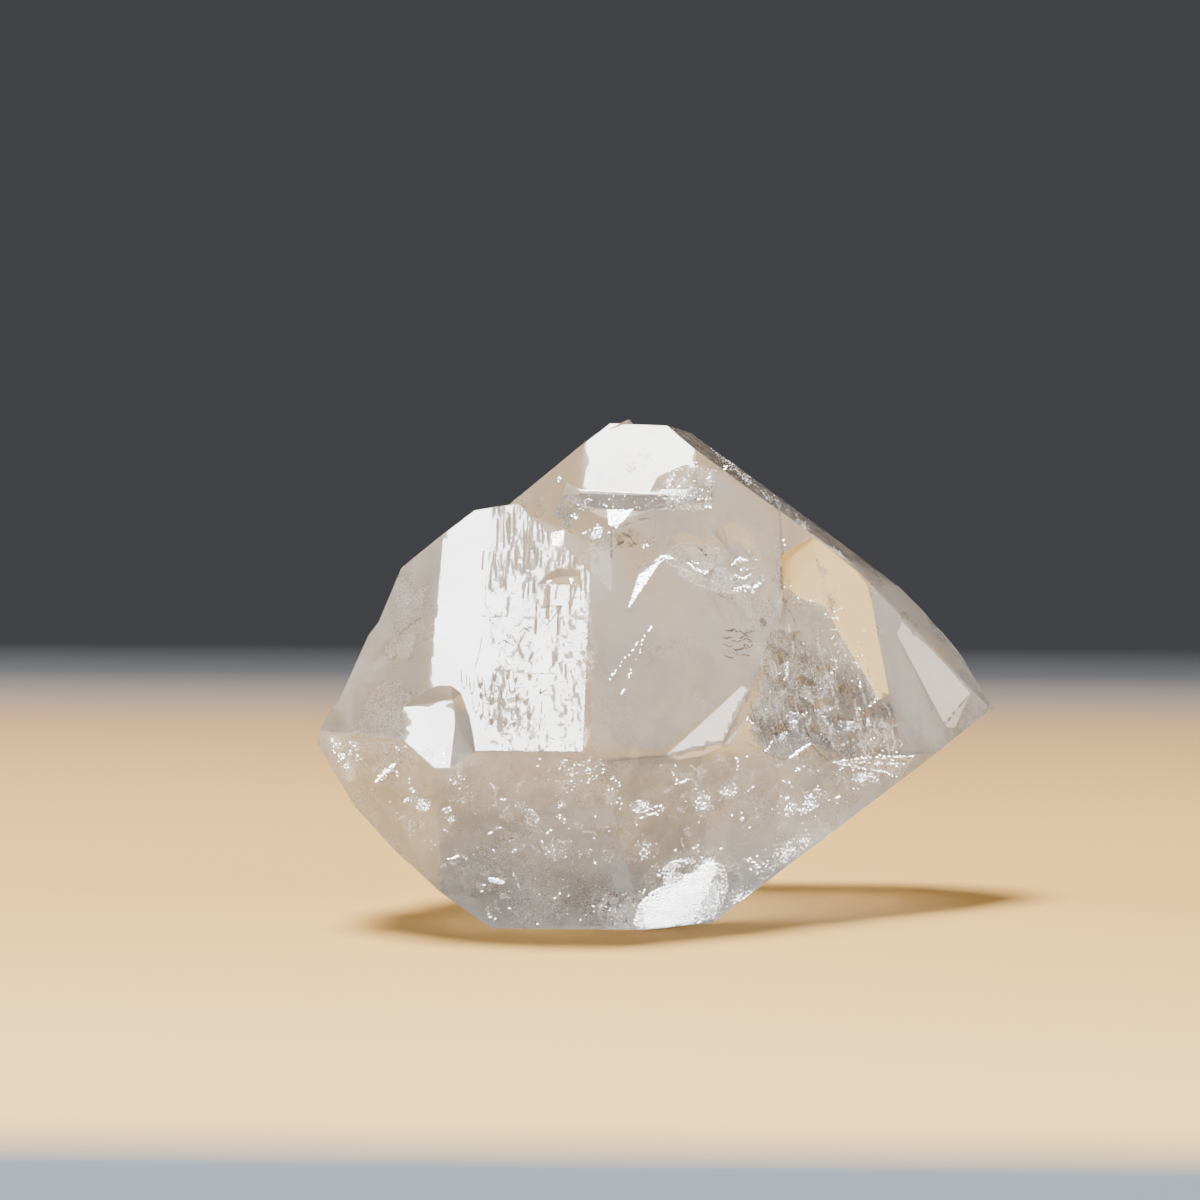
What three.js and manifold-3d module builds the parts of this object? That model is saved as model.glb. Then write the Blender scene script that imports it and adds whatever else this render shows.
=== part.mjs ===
// Herkimer diamond: a clear, doubly terminated quartz crystal lying on one of its prism faces.
// Two crystals grown side by side with all their faces parallel, so the whole is one solid.
// Millimetres. X runs along the c axis, Y goes away from the viewer, Z is up and the table is z = 0.
import * as THREE from "three";
import { ConvexGeometry } from "three/addons/geometries/ConvexGeometry.js";
import { mergeVertices } from "three/addons/utils/BufferGeometryUtils.js";
import Module from "manifold-3d";

const wasm = await Module();
wasm.setup();

// ---- driving dimensions -------------------------------------------------------------------------
const RHOMB_TO_AXIS = 51.79; // degrees between the c axis and the normal of a rhombohedral face
const CLEAR_COLOR = 0xdcd5cb;

// How far each face of the main crystal stands from the design origin.
const MAIN = {
  upperFront: 5.0,
  upperFrontRight: 4.3,
  upperFrontLeft: 5.82,
  upperBack: 17.0,
  upperBackRight: 19.9,
  upperBackLeft: 15.6,
  lowerBack: 9.6,
  lowerBackRight: 12.7,
  lowerBackLeft: 9.4,
};
// The smaller crystal grown on its front left.
const SIDE = {
  upperFront: 7.25,
  lowerFrontLeft: 5.46,
  upperBack: 12.3,
  lowerBack: 4.6,
  upperBackLeft: 14.2,
  lowerBackLeft: 8.4,
};
const LOWER_FRONT = 0.64; // shared by both crystals
const PRISM_TERRACE = 7.95; // growth layer on the big prism face of the side crystal
const RHOMB_TERRACE = 4.81; // growth layer on the big rhomb face between the two crystals
const NECK_LEFT = 6.73; // left rhomb of the neck under the top facet
const MERGE = 0.02; // corners closer together than this become one

// ---- faces ---------------------------------------------------------------------------------------
const SECTOR = { top: 90, upperFront: 150, lowerFront: 210, bottom: 270, lowerBack: 330, upperBack: 30 };

function unit(x, y, z) {
  return new THREE.Vector3(x, y, z).normalize();
}
// Outward normal of a prism face (no end) or of a rhomb face at the "Right" or "Left" end.
function normalOf(sector, end) {
  const turn = THREE.MathUtils.degToRad(SECTOR[sector]);
  const out = new THREE.Vector3(0, Math.cos(turn), Math.sin(turn));
  if (!end) return out;
  const lean = THREE.MathUtils.degToRad(RHOMB_TO_AXIS);
  return out.multiplyScalar(Math.sin(lean)).setX((end === "Right" ? 1 : -1) * Math.cos(lean));
}
// A face is a plane; what is kept is on its inner side.
function face(normal, offset) {
  return { normal, offset };
}
function faceAt(normal, point) {
  return face(normal, normal.dot(point));
}
// The face through the edge p-q whose normal is nearest to the wanted one.
function faceOnEdge(wanted, p, q) {
  const along = q.clone().sub(p).normalize();
  const normal = wanted.clone().addScaledVector(along, -wanted.dot(along)).normalize();
  return faceAt(normal, p);
}
function faceThrough(p, q, r) {
  const normal = q.clone().sub(p).cross(r.clone().sub(p)).normalize();
  return faceAt(normal, p);
}
function flip(f) {
  return face(f.normal.clone().negate(), -f.offset);
}
const at = (x, y, z) => new THREE.Vector3(x, y, z);

const UPPER_FRONT = normalOf("upperFront");
const UP_SLOPE = new THREE.Vector3(0, 0.5, Math.sqrt(0.75)); // steepest line on the upper front prism face
// Point on the upper front prism face of the given offset: x along the axis, t up the slope.
function onPrism(offset, x, t) {
  return UPPER_FRONT.clone().multiplyScalar(offset).setX(x).addScaledVector(UP_SLOPE, t);
}
const RHOMB = normalOf("upperFront", "Right");
// Point on the upper front right rhomb face of the given offset, above the given x and z.
function onRhomb(offset, x, z) {
  return at(x, (RHOMB.x * x + RHOMB.z * z - offset) / -RHOMB.y, z);
}

// ---- solids --------------------------------------------------------------------------------------
function solidOf(geometry) {
  const plain = geometry.index ? geometry.toNonIndexed() : geometry.clone();
  plain.deleteAttribute("normal");
  plain.deleteAttribute("uv");
  const merged = mergeVertices(plain, 1e-5);
  return new wasm.Manifold(
    new wasm.Mesh({
      numProp: 3,
      vertProperties: new Float32Array(merged.attributes.position.array),
      triVerts: new Uint32Array(merged.index.array),
    }),
  );
}
// Convex crystal: every corner where three faces meet and that no other face cuts off.
function crystal(faces) {
  const corners = [];
  for (let i = 0; i < faces.length; i += 1) {
    for (let j = i + 1; j < faces.length; j += 1) {
      for (let k = j + 1; k < faces.length; k += 1) {
        const corner = meeting(faces[i], faces[j], faces[k]);
        if (!corner) continue;
        if (faces.some((f) => f.normal.dot(corner) > f.offset + 1e-6)) continue;
        if (corners.every((c) => c.distanceTo(corner) > 1e-4)) corners.push(corner);
      }
    }
  }
  return solidOf(new ConvexGeometry(corners));
}
function meeting(a, b, c) {
  const bc = b.normal.clone().cross(c.normal);
  const det = a.normal.dot(bc);
  if (Math.abs(det) < 1e-7) return null;
  const ca = c.normal.clone().cross(a.normal);
  const ab = a.normal.clone().cross(b.normal);
  return bc
    .multiplyScalar(a.offset)
    .addScaledVector(ca, b.offset)
    .addScaledVector(ab, c.offset)
    .divideScalar(det);
}
function hullOf(points) {
  return solidOf(new ConvexGeometry(points));
}

// ---- faces that both crystals share ----------------------------------------------------------------
const base = face(at(0, 0, -1), 0);
const lowerFront = face(normalOf("lowerFront"), LOWER_FRONT);
const lowerFrontRight = faceThrough(at(-1.79, -4.71, 6.91), at(-0.17, -0.74, 0), at(9.67, 6.05, 6.2));
const bottomRight = face(unit(0.6, -0.049, -0.8), 1.26);
const bottomLeft = face(unit(-0.62, 0, -0.78), 3.86);
const bottomLeftSteep = face(unit(-0.71, 0, -0.7), 5.0);
const rhombMain = face(RHOMB, MAIN.upperFrontRight);
const rhombTerrace = face(RHOMB, RHOMB_TERRACE);

// ---- main crystal: carries the right tip and the top facet -----------------------------------------
const mainTop = faceAt(unit(0.037, 0.105, 1), at(-1.16, 5.35, 19.27));
const mainTopRight = face(unit(0.6186, -0.026, 0.7857), 15.1);
const mainTopLeft = face(unit(-0.6186, 0.05, 0.784), 16.66);
// Blade-shaped face that tapers up along the right rhomb, and the small faces round the tip.
const bladeStart = onRhomb(4.3, 8.05, 12.89);
const bladeCorner = onRhomb(3.95, 12.26, 8.35);
const blade = faceThrough(bladeStart, onRhomb(4.3, 11.21, 7.1), bladeCorner);
const bladeTop = faceThrough(bladeStart, bladeCorner, at(11.0, 13.2, 10.42));
const tipFront = faceThrough(bladeCorner, onRhomb(4.15, 11.61, 7.01), onRhomb(3.6, 13.3, 7.6));
const tipUpper = face(unit(0.77, 0.02, 0.64), 15.9);
const tipSteep = face(unit(0.86, 0.02, 0.51), 15.85);
// All faces of the main crystal but its right rhomb; a lift moves one of them outwards.
function mainShape(lift = {}) {
  const side = (name, sector, end) => face(normalOf(sector, end), MAIN[name] + (lift[name] ?? 0));
  return [
    base,
    mainTop,
    mainTopRight,
    mainTopLeft,
    side("upperFront", "upperFront"),
    side("upperFrontLeft", "upperFront", "Left"),
    lowerFront,
    lowerFrontRight,
    face(normalOf("lowerFront", "Left"), -0.08),
    bottomRight,
    bottomLeft,
    bottomLeftSteep,
    side("upperBack", "upperBack"),
    side("upperBackRight", "upperBack", "Right"),
    side("upperBackLeft", "upperBack", "Left"),
    side("lowerBack", "lowerBack"),
    side("lowerBackRight", "lowerBack", "Right"),
    side("lowerBackLeft", "lowerBack", "Left"),
    face(unit(-0.9, 0.05, 0.43), 13.2),
    tipUpper,
    tipSteep,
  ];
}
const mainFaces = mainShape();
const tipFaces = [rhombMain, blade, tipFront, bladeTop];
const mainCrystal = crystal([...mainFaces, ...tipFaces]);

// Growth layer on its right rhomb face, and the thinner layer that it stands on.
const layerEnds = [
  faceThrough(onRhomb(4.81, 4.68, 14.27), onRhomb(4.81, 4.78, 12.56), onRhomb(4.3, 4.95, 13.4)),
  faceThrough(onRhomb(4.81, 4.78, 12.1), onRhomb(4.81, 4.7, 11.36), onRhomb(4.1, 5.0, 11.8)),
  faceThrough(onRhomb(4.81, 4.7, 11.36), onRhomb(4.81, 3.93, 9.61), onRhomb(4.1, 5.0, 10.9)),
];
const sideEnd = faceThrough(at(4.22, 1.65, 8.91), at(3.0, -0.56, 7.25), at(4.32, 2.3, 8.65));
const thinEdge = faceOnEdge(unit(0.5, -0.2, -0.85), onRhomb(4.55, 4.85, 14.15), onRhomb(4.55, 5.83, 14.8));
const upperLayer = crystal([...mainFaces, rhombTerrace, ...layerEnds, sideEnd]);
const thinLayer = crystal([...mainFaces, face(RHOMB, 4.55), thinEdge]);

// Growth layers on its back: two that climb over each other on the upper face, one each on three others.
const backLayers = [
  crystal([
    ...mainShape({ upperBack: 0.28 }),
    ...tipFaces,
    face(unit(-1, 0, 0.32), 7.1),
    face(unit(0.15, 0, -1), -8.9),
  ]),
  crystal([
    ...mainShape({ upperBack: 0.55 }),
    ...tipFaces,
    face(unit(-1, 0, 0.4), 4.3),
    face(unit(0.5, 0, -1), -8.6),
  ]),
  crystal([
    ...mainShape({ lowerBack: 0.32 }),
    ...tipFaces,
    face(unit(1, 0, 0.25), 4.6),
    face(unit(0.2, 0, 1), 6.1),
  ]),
  crystal([
    ...mainShape({ upperBackLeft: 0.35 }),
    ...tipFaces,
    face(unit(-0.5, 0, 1), 15.6),
    face(unit(0, -1, 0.3), -5.2),
  ]),
  crystal([...mainShape({ upperBackRight: 0.3 }), ...tipFaces, face(unit(0, -1, -0.5), -15.1)]),
];

// ---- side crystal: big prism face at the front left --------------------------------------------------
const sideTop = faceAt(unit(-0.155, 0.1, 0.98), at(-6.97, 0.14, 16.14));
const sideTopLeft = face(unit(-0.6186, 0.03, 0.785), 16.96);
const sideTopRight = faceOnEdge(
  unit(0.6, 0.16, 0.78),
  onPrism(PRISM_TERRACE, -5.0, 14.15),
  onPrism(PRISM_TERRACE, -2.43, 11.54),
);
const sideFaces = [
  base,
  sideTop,
  sideTopLeft,
  sideTopRight,
  sideEnd,
  ...layerEnds,
  rhombTerrace,
  lowerFront,
  lowerFrontRight,
  face(normalOf("lowerFront", "Left"), SIDE.lowerFrontLeft),
  bottomRight,
  bottomLeft,
  bottomLeftSteep,
  face(unit(-0.86, 0, -0.51), 7.6),
  face(normalOf("upperBack"), SIDE.upperBack),
  face(normalOf("lowerBack"), SIDE.lowerBack),
  face(normalOf("upperBack", "Left"), SIDE.upperBackLeft),
  face(normalOf("lowerBack", "Left"), SIDE.lowerBackLeft),
  face(normalOf("upperBack", "Right"), 12.6),
  face(normalOf("lowerBack", "Right"), 7.6),
];
// The left rhomb leans a little out of its ideal direction.
const sideFrontLeft = faceAt(
  normalOf("upperFront", "Left").addScaledVector(UP_SLOPE, 0.0285).normalize(),
  onPrism(PRISM_TERRACE, -8.26, 9.6),
);
const sideFront = face(UPPER_FRONT, SIDE.upperFront);
// The left end steps outwards twice on the way down.
const leftEnds = [
  [face(unit(-0.931, 0.05, 0.366), 14.18)],
  [face(unit(-0.918, 0.05, 0.396), 14.57), face(unit(-0.787, 0.03, 0.617), 15.63)],
  [face(unit(-0.935, 0.05, 0.355), 14.67), face(unit(-0.81, 0.03, 0.586), 14.96)],
];
const sideCrystal = leftEnds
  .map((end) => crystal([...sideFaces, sideFrontLeft, sideFront, ...end]))
  .reduce((all, one) => all.add(one));

// Growth layer on the prism face, with a broken lower left corner and a small ledge near its right edge.
const cornerBreak = hullOf([
  onPrism(8.0, -9.6, 3.2),
  onPrism(8.0, -9.6, 5.2),
  onPrism(8.0, -8.75, 5.6),
  onPrism(8.0, -8.42, 6.3),
  onPrism(8.0, -7.95, 6.6),
  onPrism(8.0, -7.45, 6.6),
  onPrism(8.0, -7.05, 6.27),
  onPrism(8.0, -6.68, 5.23),
  onPrism(8.0, -6.5, 4.44),
  onPrism(8.0, -6.3, 3.3),
  onPrism(7.2, -9.6, 3.2),
  onPrism(7.2, -9.6, 5.9),
  onPrism(7.2, -9.05, 5.99),
  onPrism(7.2, -8.05, 6.18),
  onPrism(7.2, -7.48, 6.31),
  onPrism(7.2, -7.36, 5.46),
  onPrism(7.2, -7.5, 4.5),
  onPrism(7.2, -7.5, 3.2),
]);
const ledge = hullOf([
  onPrism(8.0, -4.33, 10.86),
  onPrism(8.0, -3.96, 11.32),
  onPrism(8.0, -3.51, 11.55),
  onPrism(8.0, -2.75, 11.52),
  onPrism(8.0, -2.7, 10.86),
  onPrism(7.55, -4.1, 11.2),
  onPrism(7.55, -3.5, 11.42),
  onPrism(7.6, -2.8, 11.42),
  onPrism(7.75, -2.8, 11.0),
]);
const prismLayer = crystal([
  ...sideFaces,
  sideFrontLeft,
  face(UPPER_FRONT, PRISM_TERRACE),
  flip(face(UPPER_FRONT, SIDE.upperFront - 0.4)),
])
  .subtract(cornerBreak)
  .subtract(ledge);

// ---- neck: the step of the main crystal under its top facet ------------------------------------------
const neckTop = faceAt(unit(0.037, -0.3, 1), at(-3.07, 3.89, 16.73));
const neck = crystal([
  base,
  neckTop,
  mainTop,
  mainTopRight,
  face(normalOf("upperFront", "Left"), NECK_LEFT),
  rhombTerrace,
  lowerFront,
  lowerFrontRight,
  face(unit(-1, 0, 0.1), 5.4),
  face(at(0, 1, 0), 8),
  face(at(1, 0, 0), 3),
  face(unit(0.2, 0, -1), -12.0),
]);

// Big rhomb layer between the two crystals, ending in a slanting edge at its upper left.
const layerCorner = onRhomb(RHOMB_TERRACE, 0.23, 14.15);
const layerLeft = faceOnEdge(UPPER_FRONT, layerCorner, onRhomb(RHOMB_TERRACE, -0.92, 12.41));
const layerTop = faceOnEdge(normalOf("top", "Right"), layerCorner, onRhomb(RHOMB_TERRACE, 3.13, 12.73));
const rhombLayer = crystal([
  base,
  rhombTerrace,
  lowerFrontRight,
  lowerFront,
  bottomRight,
  layerLeft,
  layerTop,
  ...layerEnds,
  sideEnd,
  mainTop,
  mainTopRight,
  face(at(-1, 0, 0), 1.5),
  face(at(0, 1, 0), 7),
]);
// Pale strip that rises out of the lower right of that layer up to the front ridge.
const strip = faceThrough(
  onRhomb(RHOMB_TERRACE, 3.37, 9.28),
  onRhomb(RHOMB_TERRACE, 0.68, 7.0),
  at(3.0, -0.56, 7.25),
);
const ridgeStrip = crystal([
  strip,
  sideEnd,
  layerEnds[2],
  lowerFront,
  lowerFrontRight,
  bottomRight,
  base,
  face(at(-1, 0, 0), 0.6),
  face(at(0, 1, 0), 6),
  face(at(0, 0, 1), 9.2),
]);
// Broken ridge to the right of the strip: a rough shoulder, a gap and a small peak.
const shoulder = hullOf([
  at(2.9, -0.45, 7.2),
  at(2.5, -0.85, 6.9),
  onRhomb(5.0, 4.12, 7.04),
  onRhomb(4.3, 3.64, 8.11),
  onRhomb(4.3, 4.65, 6.43),
  at(2.7, -2.2, 6.0),
  at(4.6, -0.8, 5.9),
  at(2.7, 1.5, 5.5),
  at(4.6, 2.6, 5.6),
  at(3.6, 3.4, 8.0),
]);
const peak = hullOf([
  onRhomb(4.87, 5.99, 6.95),
  onRhomb(4.3, 5.26, 6.3),
  onRhomb(4.3, 6.72, 6.15),
  onRhomb(3.4, 5.95, 6.95),
  onRhomb(3.4, 5.26, 5.6),
  onRhomb(3.4, 6.72, 5.5),
  onRhomb(4.3, 5.9, 5.6),
]);

// ---- damage and etching ------------------------------------------------------------------------------
let seed = 7;
function random(low, high) {
  seed = (seed * 16807) % 2147483647;
  return low + ((high - low) * seed) / 2147483647;
}
// Shallow shell-shaped break: a ball of the given radius that bites to the given depth.
function shellBreak(center, normal, radius, depth) {
  const ball = new THREE.IcosahedronGeometry(radius, 8);
  const middle = center.clone().addScaledVector(normal, radius - depth);
  ball.translate(middle.x, middle.y, middle.z);
  return solidOf(ball);
}
// Angular pit or knob whose sides run along the crystal's own faces.
function smallCrystal(center, size) {
  const faces = [];
  for (const sector of Object.keys(SECTOR)) {
    for (const end of ["", "Right", "Left"]) {
      const normal = normalOf(sector, end);
      faces.push(face(normal, normal.dot(center) + size * random(0.55, 1.15)));
    }
  }
  return crystal(faces);
}
// Frosty hollow above the rhomb layer.
const hollow = [
  shellBreak(onRhomb(RHOMB_TERRACE, 1.3, 14.1), RHOMB, 2.2, 0.34),
  shellBreak(onRhomb(RHOMB_TERRACE, 2.5, 13.7), RHOMB, 2.6, 0.42),
  shellBreak(onRhomb(RHOMB_TERRACE, 3.5, 13.3), RHOMB, 1.8, 0.4),
  shellBreak(onRhomb(RHOMB_TERRACE, 3.1, 14.4), RHOMB, 3.4, 0.2),
  shellBreak(onRhomb(RHOMB_TERRACE, 4.1, 12.6), RHOMB, 1.5, 0.3),
];
// Rough hollow in the right rhomb face, down to the front ridge.
const rough = [];
const ROUGH_SPOTS = [
  [5.3, 10.9, 0.45], [5.0, 10.0, 0.5], [5.7, 9.9, 0.5], [4.9, 9.1, 0.55], [5.8, 9.0, 0.6], [6.6, 9.5, 0.5],
  [5.3, 8.2, 0.6], [6.4, 8.1, 0.6], [7.3, 8.6, 0.5], [4.9, 7.4, 0.5], [7.2, 7.6, 0.55], [8.2, 7.7, 0.45],
  [6.2, 7.2, 0.45], [7.9, 6.9, 0.35],
];
for (const [x, z, size] of ROUGH_SPOTS) rough.push(smallCrystal(onRhomb(4.3, x, z), size));

// White notch at the upper left corner of the rhomb layer.
const notchEdge = [onRhomb(RHOMB_TERRACE, -0.92, 12.41), onRhomb(RHOMB_TERRACE, -0.6, 13.95)];
const notch = hullOf([
  layerCorner,
  ...notchEdge,
  onRhomb(RHOMB_TERRACE - 0.45, -0.62, 13.9),
  ...[layerCorner, ...notchEdge].map((p) => p.clone().addScaledVector(RHOMB, 0.4)),
]);
// Thin plate that overhangs the top edge.
const plate = hullOf([
  at(-2.35, 5.6, 18.85),
  at(-2.2, 5.2, 19.0),
  at(-1.3, 5.3, 19.46),
  at(-1.15, 5.5, 19.3),
  at(-1.25, 6.1, 19.4),
  at(-2.2, 6.3, 18.9),
  at(-1.6, 5.7, 18.7),
]);

// Drop-shaped growth hillocks on the big prism face.
function hillock(x, t, width, length) {
  return hullOf([
    onPrism(PRISM_TERRACE - 0.1, x, t - length),
    onPrism(PRISM_TERRACE - 0.1, x - width, t - length * 0.25),
    onPrism(PRISM_TERRACE - 0.1, x + width, t - length * 0.25),
    onPrism(PRISM_TERRACE - 0.1, x - width * 0.6, t + length * 0.5),
    onPrism(PRISM_TERRACE - 0.1, x + width * 0.5, t + length * 0.6),
    onPrism(PRISM_TERRACE + 0.07, x, t),
  ]);
}
const hillocks = [];
for (let row = 0; row < 3; row += 1) {
  for (let n = 0; n < 5; n += 1) {
    const x = -6.35 + n * 0.46 + random(-0.1, 0.1);
    hillocks.push(hillock(x, 6.9 - row * 0.85 + random(-0.25, 0.25), random(0.12, 0.19), random(0.4, 0.7)));
  }
}
// Fine ridges of growth striation, which run straight up the same face.
function striation(x, low, high, width) {
  return hullOf([
    onPrism(PRISM_TERRACE - 0.1, x - width, low),
    onPrism(PRISM_TERRACE - 0.1, x + width, low),
    onPrism(PRISM_TERRACE - 0.1, x - width, high),
    onPrism(PRISM_TERRACE - 0.1, x + width, high),
    onPrism(PRISM_TERRACE + 0.06, x, low + 0.35),
    onPrism(PRISM_TERRACE + 0.06, x, high - 0.35),
  ]);
}
const striations = [];
for (let n = 0; n < 9; n += 1) {
  const low = n < 5 ? random(10.2, 11.4) : random(8.4, 9.4);
  striations.push(striation(-6.5 + n * 0.43, low, low + random(1.2, 2.4), random(0.08, 0.13)));
}

// The same kind of angular pits on the back, and two edges broken in shells.
const backOffset = MAIN.upperBack + 0.28;
function onBack(offset, x, z) {
  return at(x, (offset - 0.5 * z) / Math.sqrt(0.75), z);
}
const backPits = [
  smallCrystal(onBack(backOffset, -1.2, 10.4), 0.5),
  smallCrystal(onBack(backOffset, -0.5, 11.2), 0.42),
  smallCrystal(onBack(MAIN.upperBack, -5.4, 9.6), 0.55),
  smallCrystal(onBack(MAIN.upperBack, -4.7, 10.3), 0.4),
  smallCrystal(onBack(MAIN.upperBack, -5.9, 10.5), 0.36),
  smallCrystal(onBack(MAIN.upperBack, 4.4, 8.4), 0.45),
];
const backBreaks = [
  shellBreak(onBack(MAIN.upperBack, 2.4, 7.75), unit(0, 1, -0.05), 1.8, 0.42),
  shellBreak(at(-4.4, 13.1, 2.1), unit(-0.15, 0.55, -0.83), 2.2, 0.3),
];

// ---- join ----------------------------------------------------------------------------------------------
const mainHull = crystal([...mainFaces, face(RHOMB, 5.2)]);
let solid = mainCrystal.add(thinLayer);
for (const layer of backLayers) solid = solid.add(layer);
for (const cut of [...rough, ...backPits, ...backBreaks]) solid = solid.subtract(cut);
solid = solid.add(upperLayer).add(neck);
for (const cut of hollow) solid = solid.subtract(cut);
solid = solid.add(sideCrystal).add(prismLayer).add(rhombLayer).subtract(notch);
solid = solid.add(ridgeStrip).add(shoulder.intersect(mainHull)).add(peak.intersect(mainHull)).add(plate);
for (const one of [...hillocks, ...striations]) solid = solid.add(one);

solid = solid.asOriginal().simplify(MERGE);
const box = solid.boundingBox();
const SHIFT = [-(box.min[0] + box.max[0]) / 2, -(box.min[1] + box.max[1]) / 2, 0];
const out = solid.translate(SHIFT).getMesh();

const geometry = new THREE.BufferGeometry();
geometry.setAttribute("position", new THREE.BufferAttribute(new Float32Array(out.vertProperties), 3));
geometry.setIndex(new THREE.BufferAttribute(new Uint32Array(out.triVerts), 1));
geometry.computeVertexNormals();

const material = new THREE.MeshStandardMaterial({ color: CLEAR_COLOR, roughness: 0.06, metalness: 0 });
const mesh = new THREE.Mesh(geometry, material);
mesh.name = "herkimer_diamond";

const group = new THREE.Group();
group.add(mesh);
export default group;
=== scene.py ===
import math

import bmesh
import bpy
import numpy as np
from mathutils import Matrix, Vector
from mathutils.bvhtree import BVHTree
from mathutils.geometry import delaunay_2d_cdt


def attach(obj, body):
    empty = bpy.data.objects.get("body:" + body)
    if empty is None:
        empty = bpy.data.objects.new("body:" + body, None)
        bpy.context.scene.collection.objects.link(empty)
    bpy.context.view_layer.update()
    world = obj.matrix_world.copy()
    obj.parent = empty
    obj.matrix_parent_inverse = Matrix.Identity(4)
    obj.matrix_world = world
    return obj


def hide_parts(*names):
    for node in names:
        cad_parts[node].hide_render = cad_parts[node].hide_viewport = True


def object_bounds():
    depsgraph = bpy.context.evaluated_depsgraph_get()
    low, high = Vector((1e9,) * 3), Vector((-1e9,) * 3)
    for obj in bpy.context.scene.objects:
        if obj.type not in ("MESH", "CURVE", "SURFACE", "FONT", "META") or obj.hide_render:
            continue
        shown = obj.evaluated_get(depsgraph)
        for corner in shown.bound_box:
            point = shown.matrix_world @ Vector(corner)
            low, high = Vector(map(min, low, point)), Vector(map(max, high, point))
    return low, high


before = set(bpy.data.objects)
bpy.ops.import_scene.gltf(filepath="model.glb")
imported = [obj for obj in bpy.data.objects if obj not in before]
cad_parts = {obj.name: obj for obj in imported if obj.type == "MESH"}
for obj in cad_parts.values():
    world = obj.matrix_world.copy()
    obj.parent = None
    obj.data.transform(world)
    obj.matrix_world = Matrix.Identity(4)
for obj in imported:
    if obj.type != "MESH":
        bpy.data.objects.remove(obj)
CAD_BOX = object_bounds()
MM = 0.001
dice = np.random.default_rng(41)

# ---- camera ----
CAMERA_AT = Vector((12.739, -214.010, 28.053)) * MM
CAMERA_AIM = Vector((-2.092, -5.069, 12.69)) * MM
LENS_MM = 163.3
SENSOR_MM = 36.0
PICTURE = 1200  # the photograph's side in pixels

cam_data = bpy.data.cameras.new("camera")
cam_data.lens = LENS_MM
cam_data.sensor_width = SENSOR_MM
cam_data.clip_start = 0.001
cam_data.clip_end = 10.0
cam = bpy.data.objects.new("camera", cam_data)
cam.location = CAMERA_AT
CAMERA_TURN = (CAMERA_AIM - CAMERA_AT).to_track_quat("-Z", "Y")
cam.rotation_euler = CAMERA_TURN.to_euler()
bpy.context.scene.collection.objects.link(cam)
bpy.context.scene.camera = cam


def sight(x, y):
    """Direction from the camera through a point of the picture."""
    step = SENSOR_MM / LENS_MM / PICTURE
    return (CAMERA_TURN @ Vector(((x - PICTURE / 2) * step, (PICTURE / 2 - y) * step, -1))).normalized()


# ---- node helpers ----
class Nodes:
    """Short way to write a node tree. Keywords are sockets, with _ for a space, or i0, i1 by number."""

    def __init__(self, tree):
        self.tree = tree
        tree.nodes.clear()

    def add(self, kind, settings=None, **inputs):
        node = self.tree.nodes.new(kind)
        for key, value in (settings or {}).items():
            setattr(node, key, value)
        for key, value in inputs.items():
            by_number = key[0] == "i" and key[1:].isdigit()
            socket = node.inputs[int(key[1:]) if by_number else key.replace("_", " ")]
            if isinstance(value, bpy.types.Node):
                value = value.outputs[0]
            if isinstance(value, bpy.types.NodeSocket):
                self.tree.links.new(value, socket)
            else:
                socket.default_value = value
        return node

    def math(self, operation, *values, clamp=False):
        inputs = {f"i{k}": v for k, v in enumerate(values)}
        return self.add("ShaderNodeMath", {"operation": operation, "use_clamp": clamp}, **inputs)

    def vector(self, operation, a, b):
        """The number that comes of two vectors."""
        return self.add("ShaderNodeVectorMath", {"operation": operation}, i0=a, i1=b).outputs["Value"]

    def spread(self, value, low, high, to_low=0.0, to_high=1.0):
        return self.add("ShaderNodeMapRange", None, i0=value, i1=low, i2=high, i3=to_low, i4=to_high)

    def mix(self, factor, a, b):
        node = self.add("ShaderNodeMix", {"data_type": "RGBA"}, i0=factor, i6=a, i7=b)
        return node.outputs[2]


def material(name):
    mat = bpy.data.materials.new(name)
    mat.use_nodes = True
    return mat, Nodes(mat.node_tree)


def link(name, mesh):
    obj = bpy.data.objects.new(name, mesh)
    bpy.context.scene.collection.objects.link(obj)
    return obj


# ---- world: dark wall behind the crystal, pale room on the camera's side, soft bright ceiling ----
WALL = (0.062, 0.063, 0.070, 1)
ROOM = (1.50, 1.50, 1.54, 1)
CEILING = (0.55, 0.55, 0.57, 1)
DIM = (0.04, 0.05, 0.07, 1)  # the ceiling as matt surfaces see it, so that the floor's shadows stay deep
ROOM_TO_WALL = (-0.45, 0.25)  # along Y of the direction
WALL_TO_CEILING = (0.30, 0.75)  # along its Z
world = bpy.data.worlds.new("studio")
bpy.context.scene.world = world
world.use_nodes = True
n = Nodes(world.node_tree)
coord = n.add("ShaderNodeTexCoord")
split = n.add("ShaderNodeSeparateXYZ", Vector=coord.outputs["Generated"])
around = n.mix(n.spread(split.outputs["Y"], *ROOM_TO_WALL), ROOM, WALL)
above = n.mix(n.add("ShaderNodeLightPath").outputs["Is Diffuse Ray"], CEILING, DIM)
sky = n.mix(n.spread(split.outputs["Z"], *WALL_TO_CEILING), around, above)
n.add("ShaderNodeOutputWorld", Surface=n.add("ShaderNodeBackground", Color=sky, Strength=1.0))

# ---- lights: directions from the crystal, sizes in metres ----
FRONT_LIGHT = (-0.06, -0.573, 0.818)
TOP_LIGHT = (-0.25, 0.16, 1.0)
LAMP_AIM = Vector((0, 0, 9)) * MM


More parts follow.
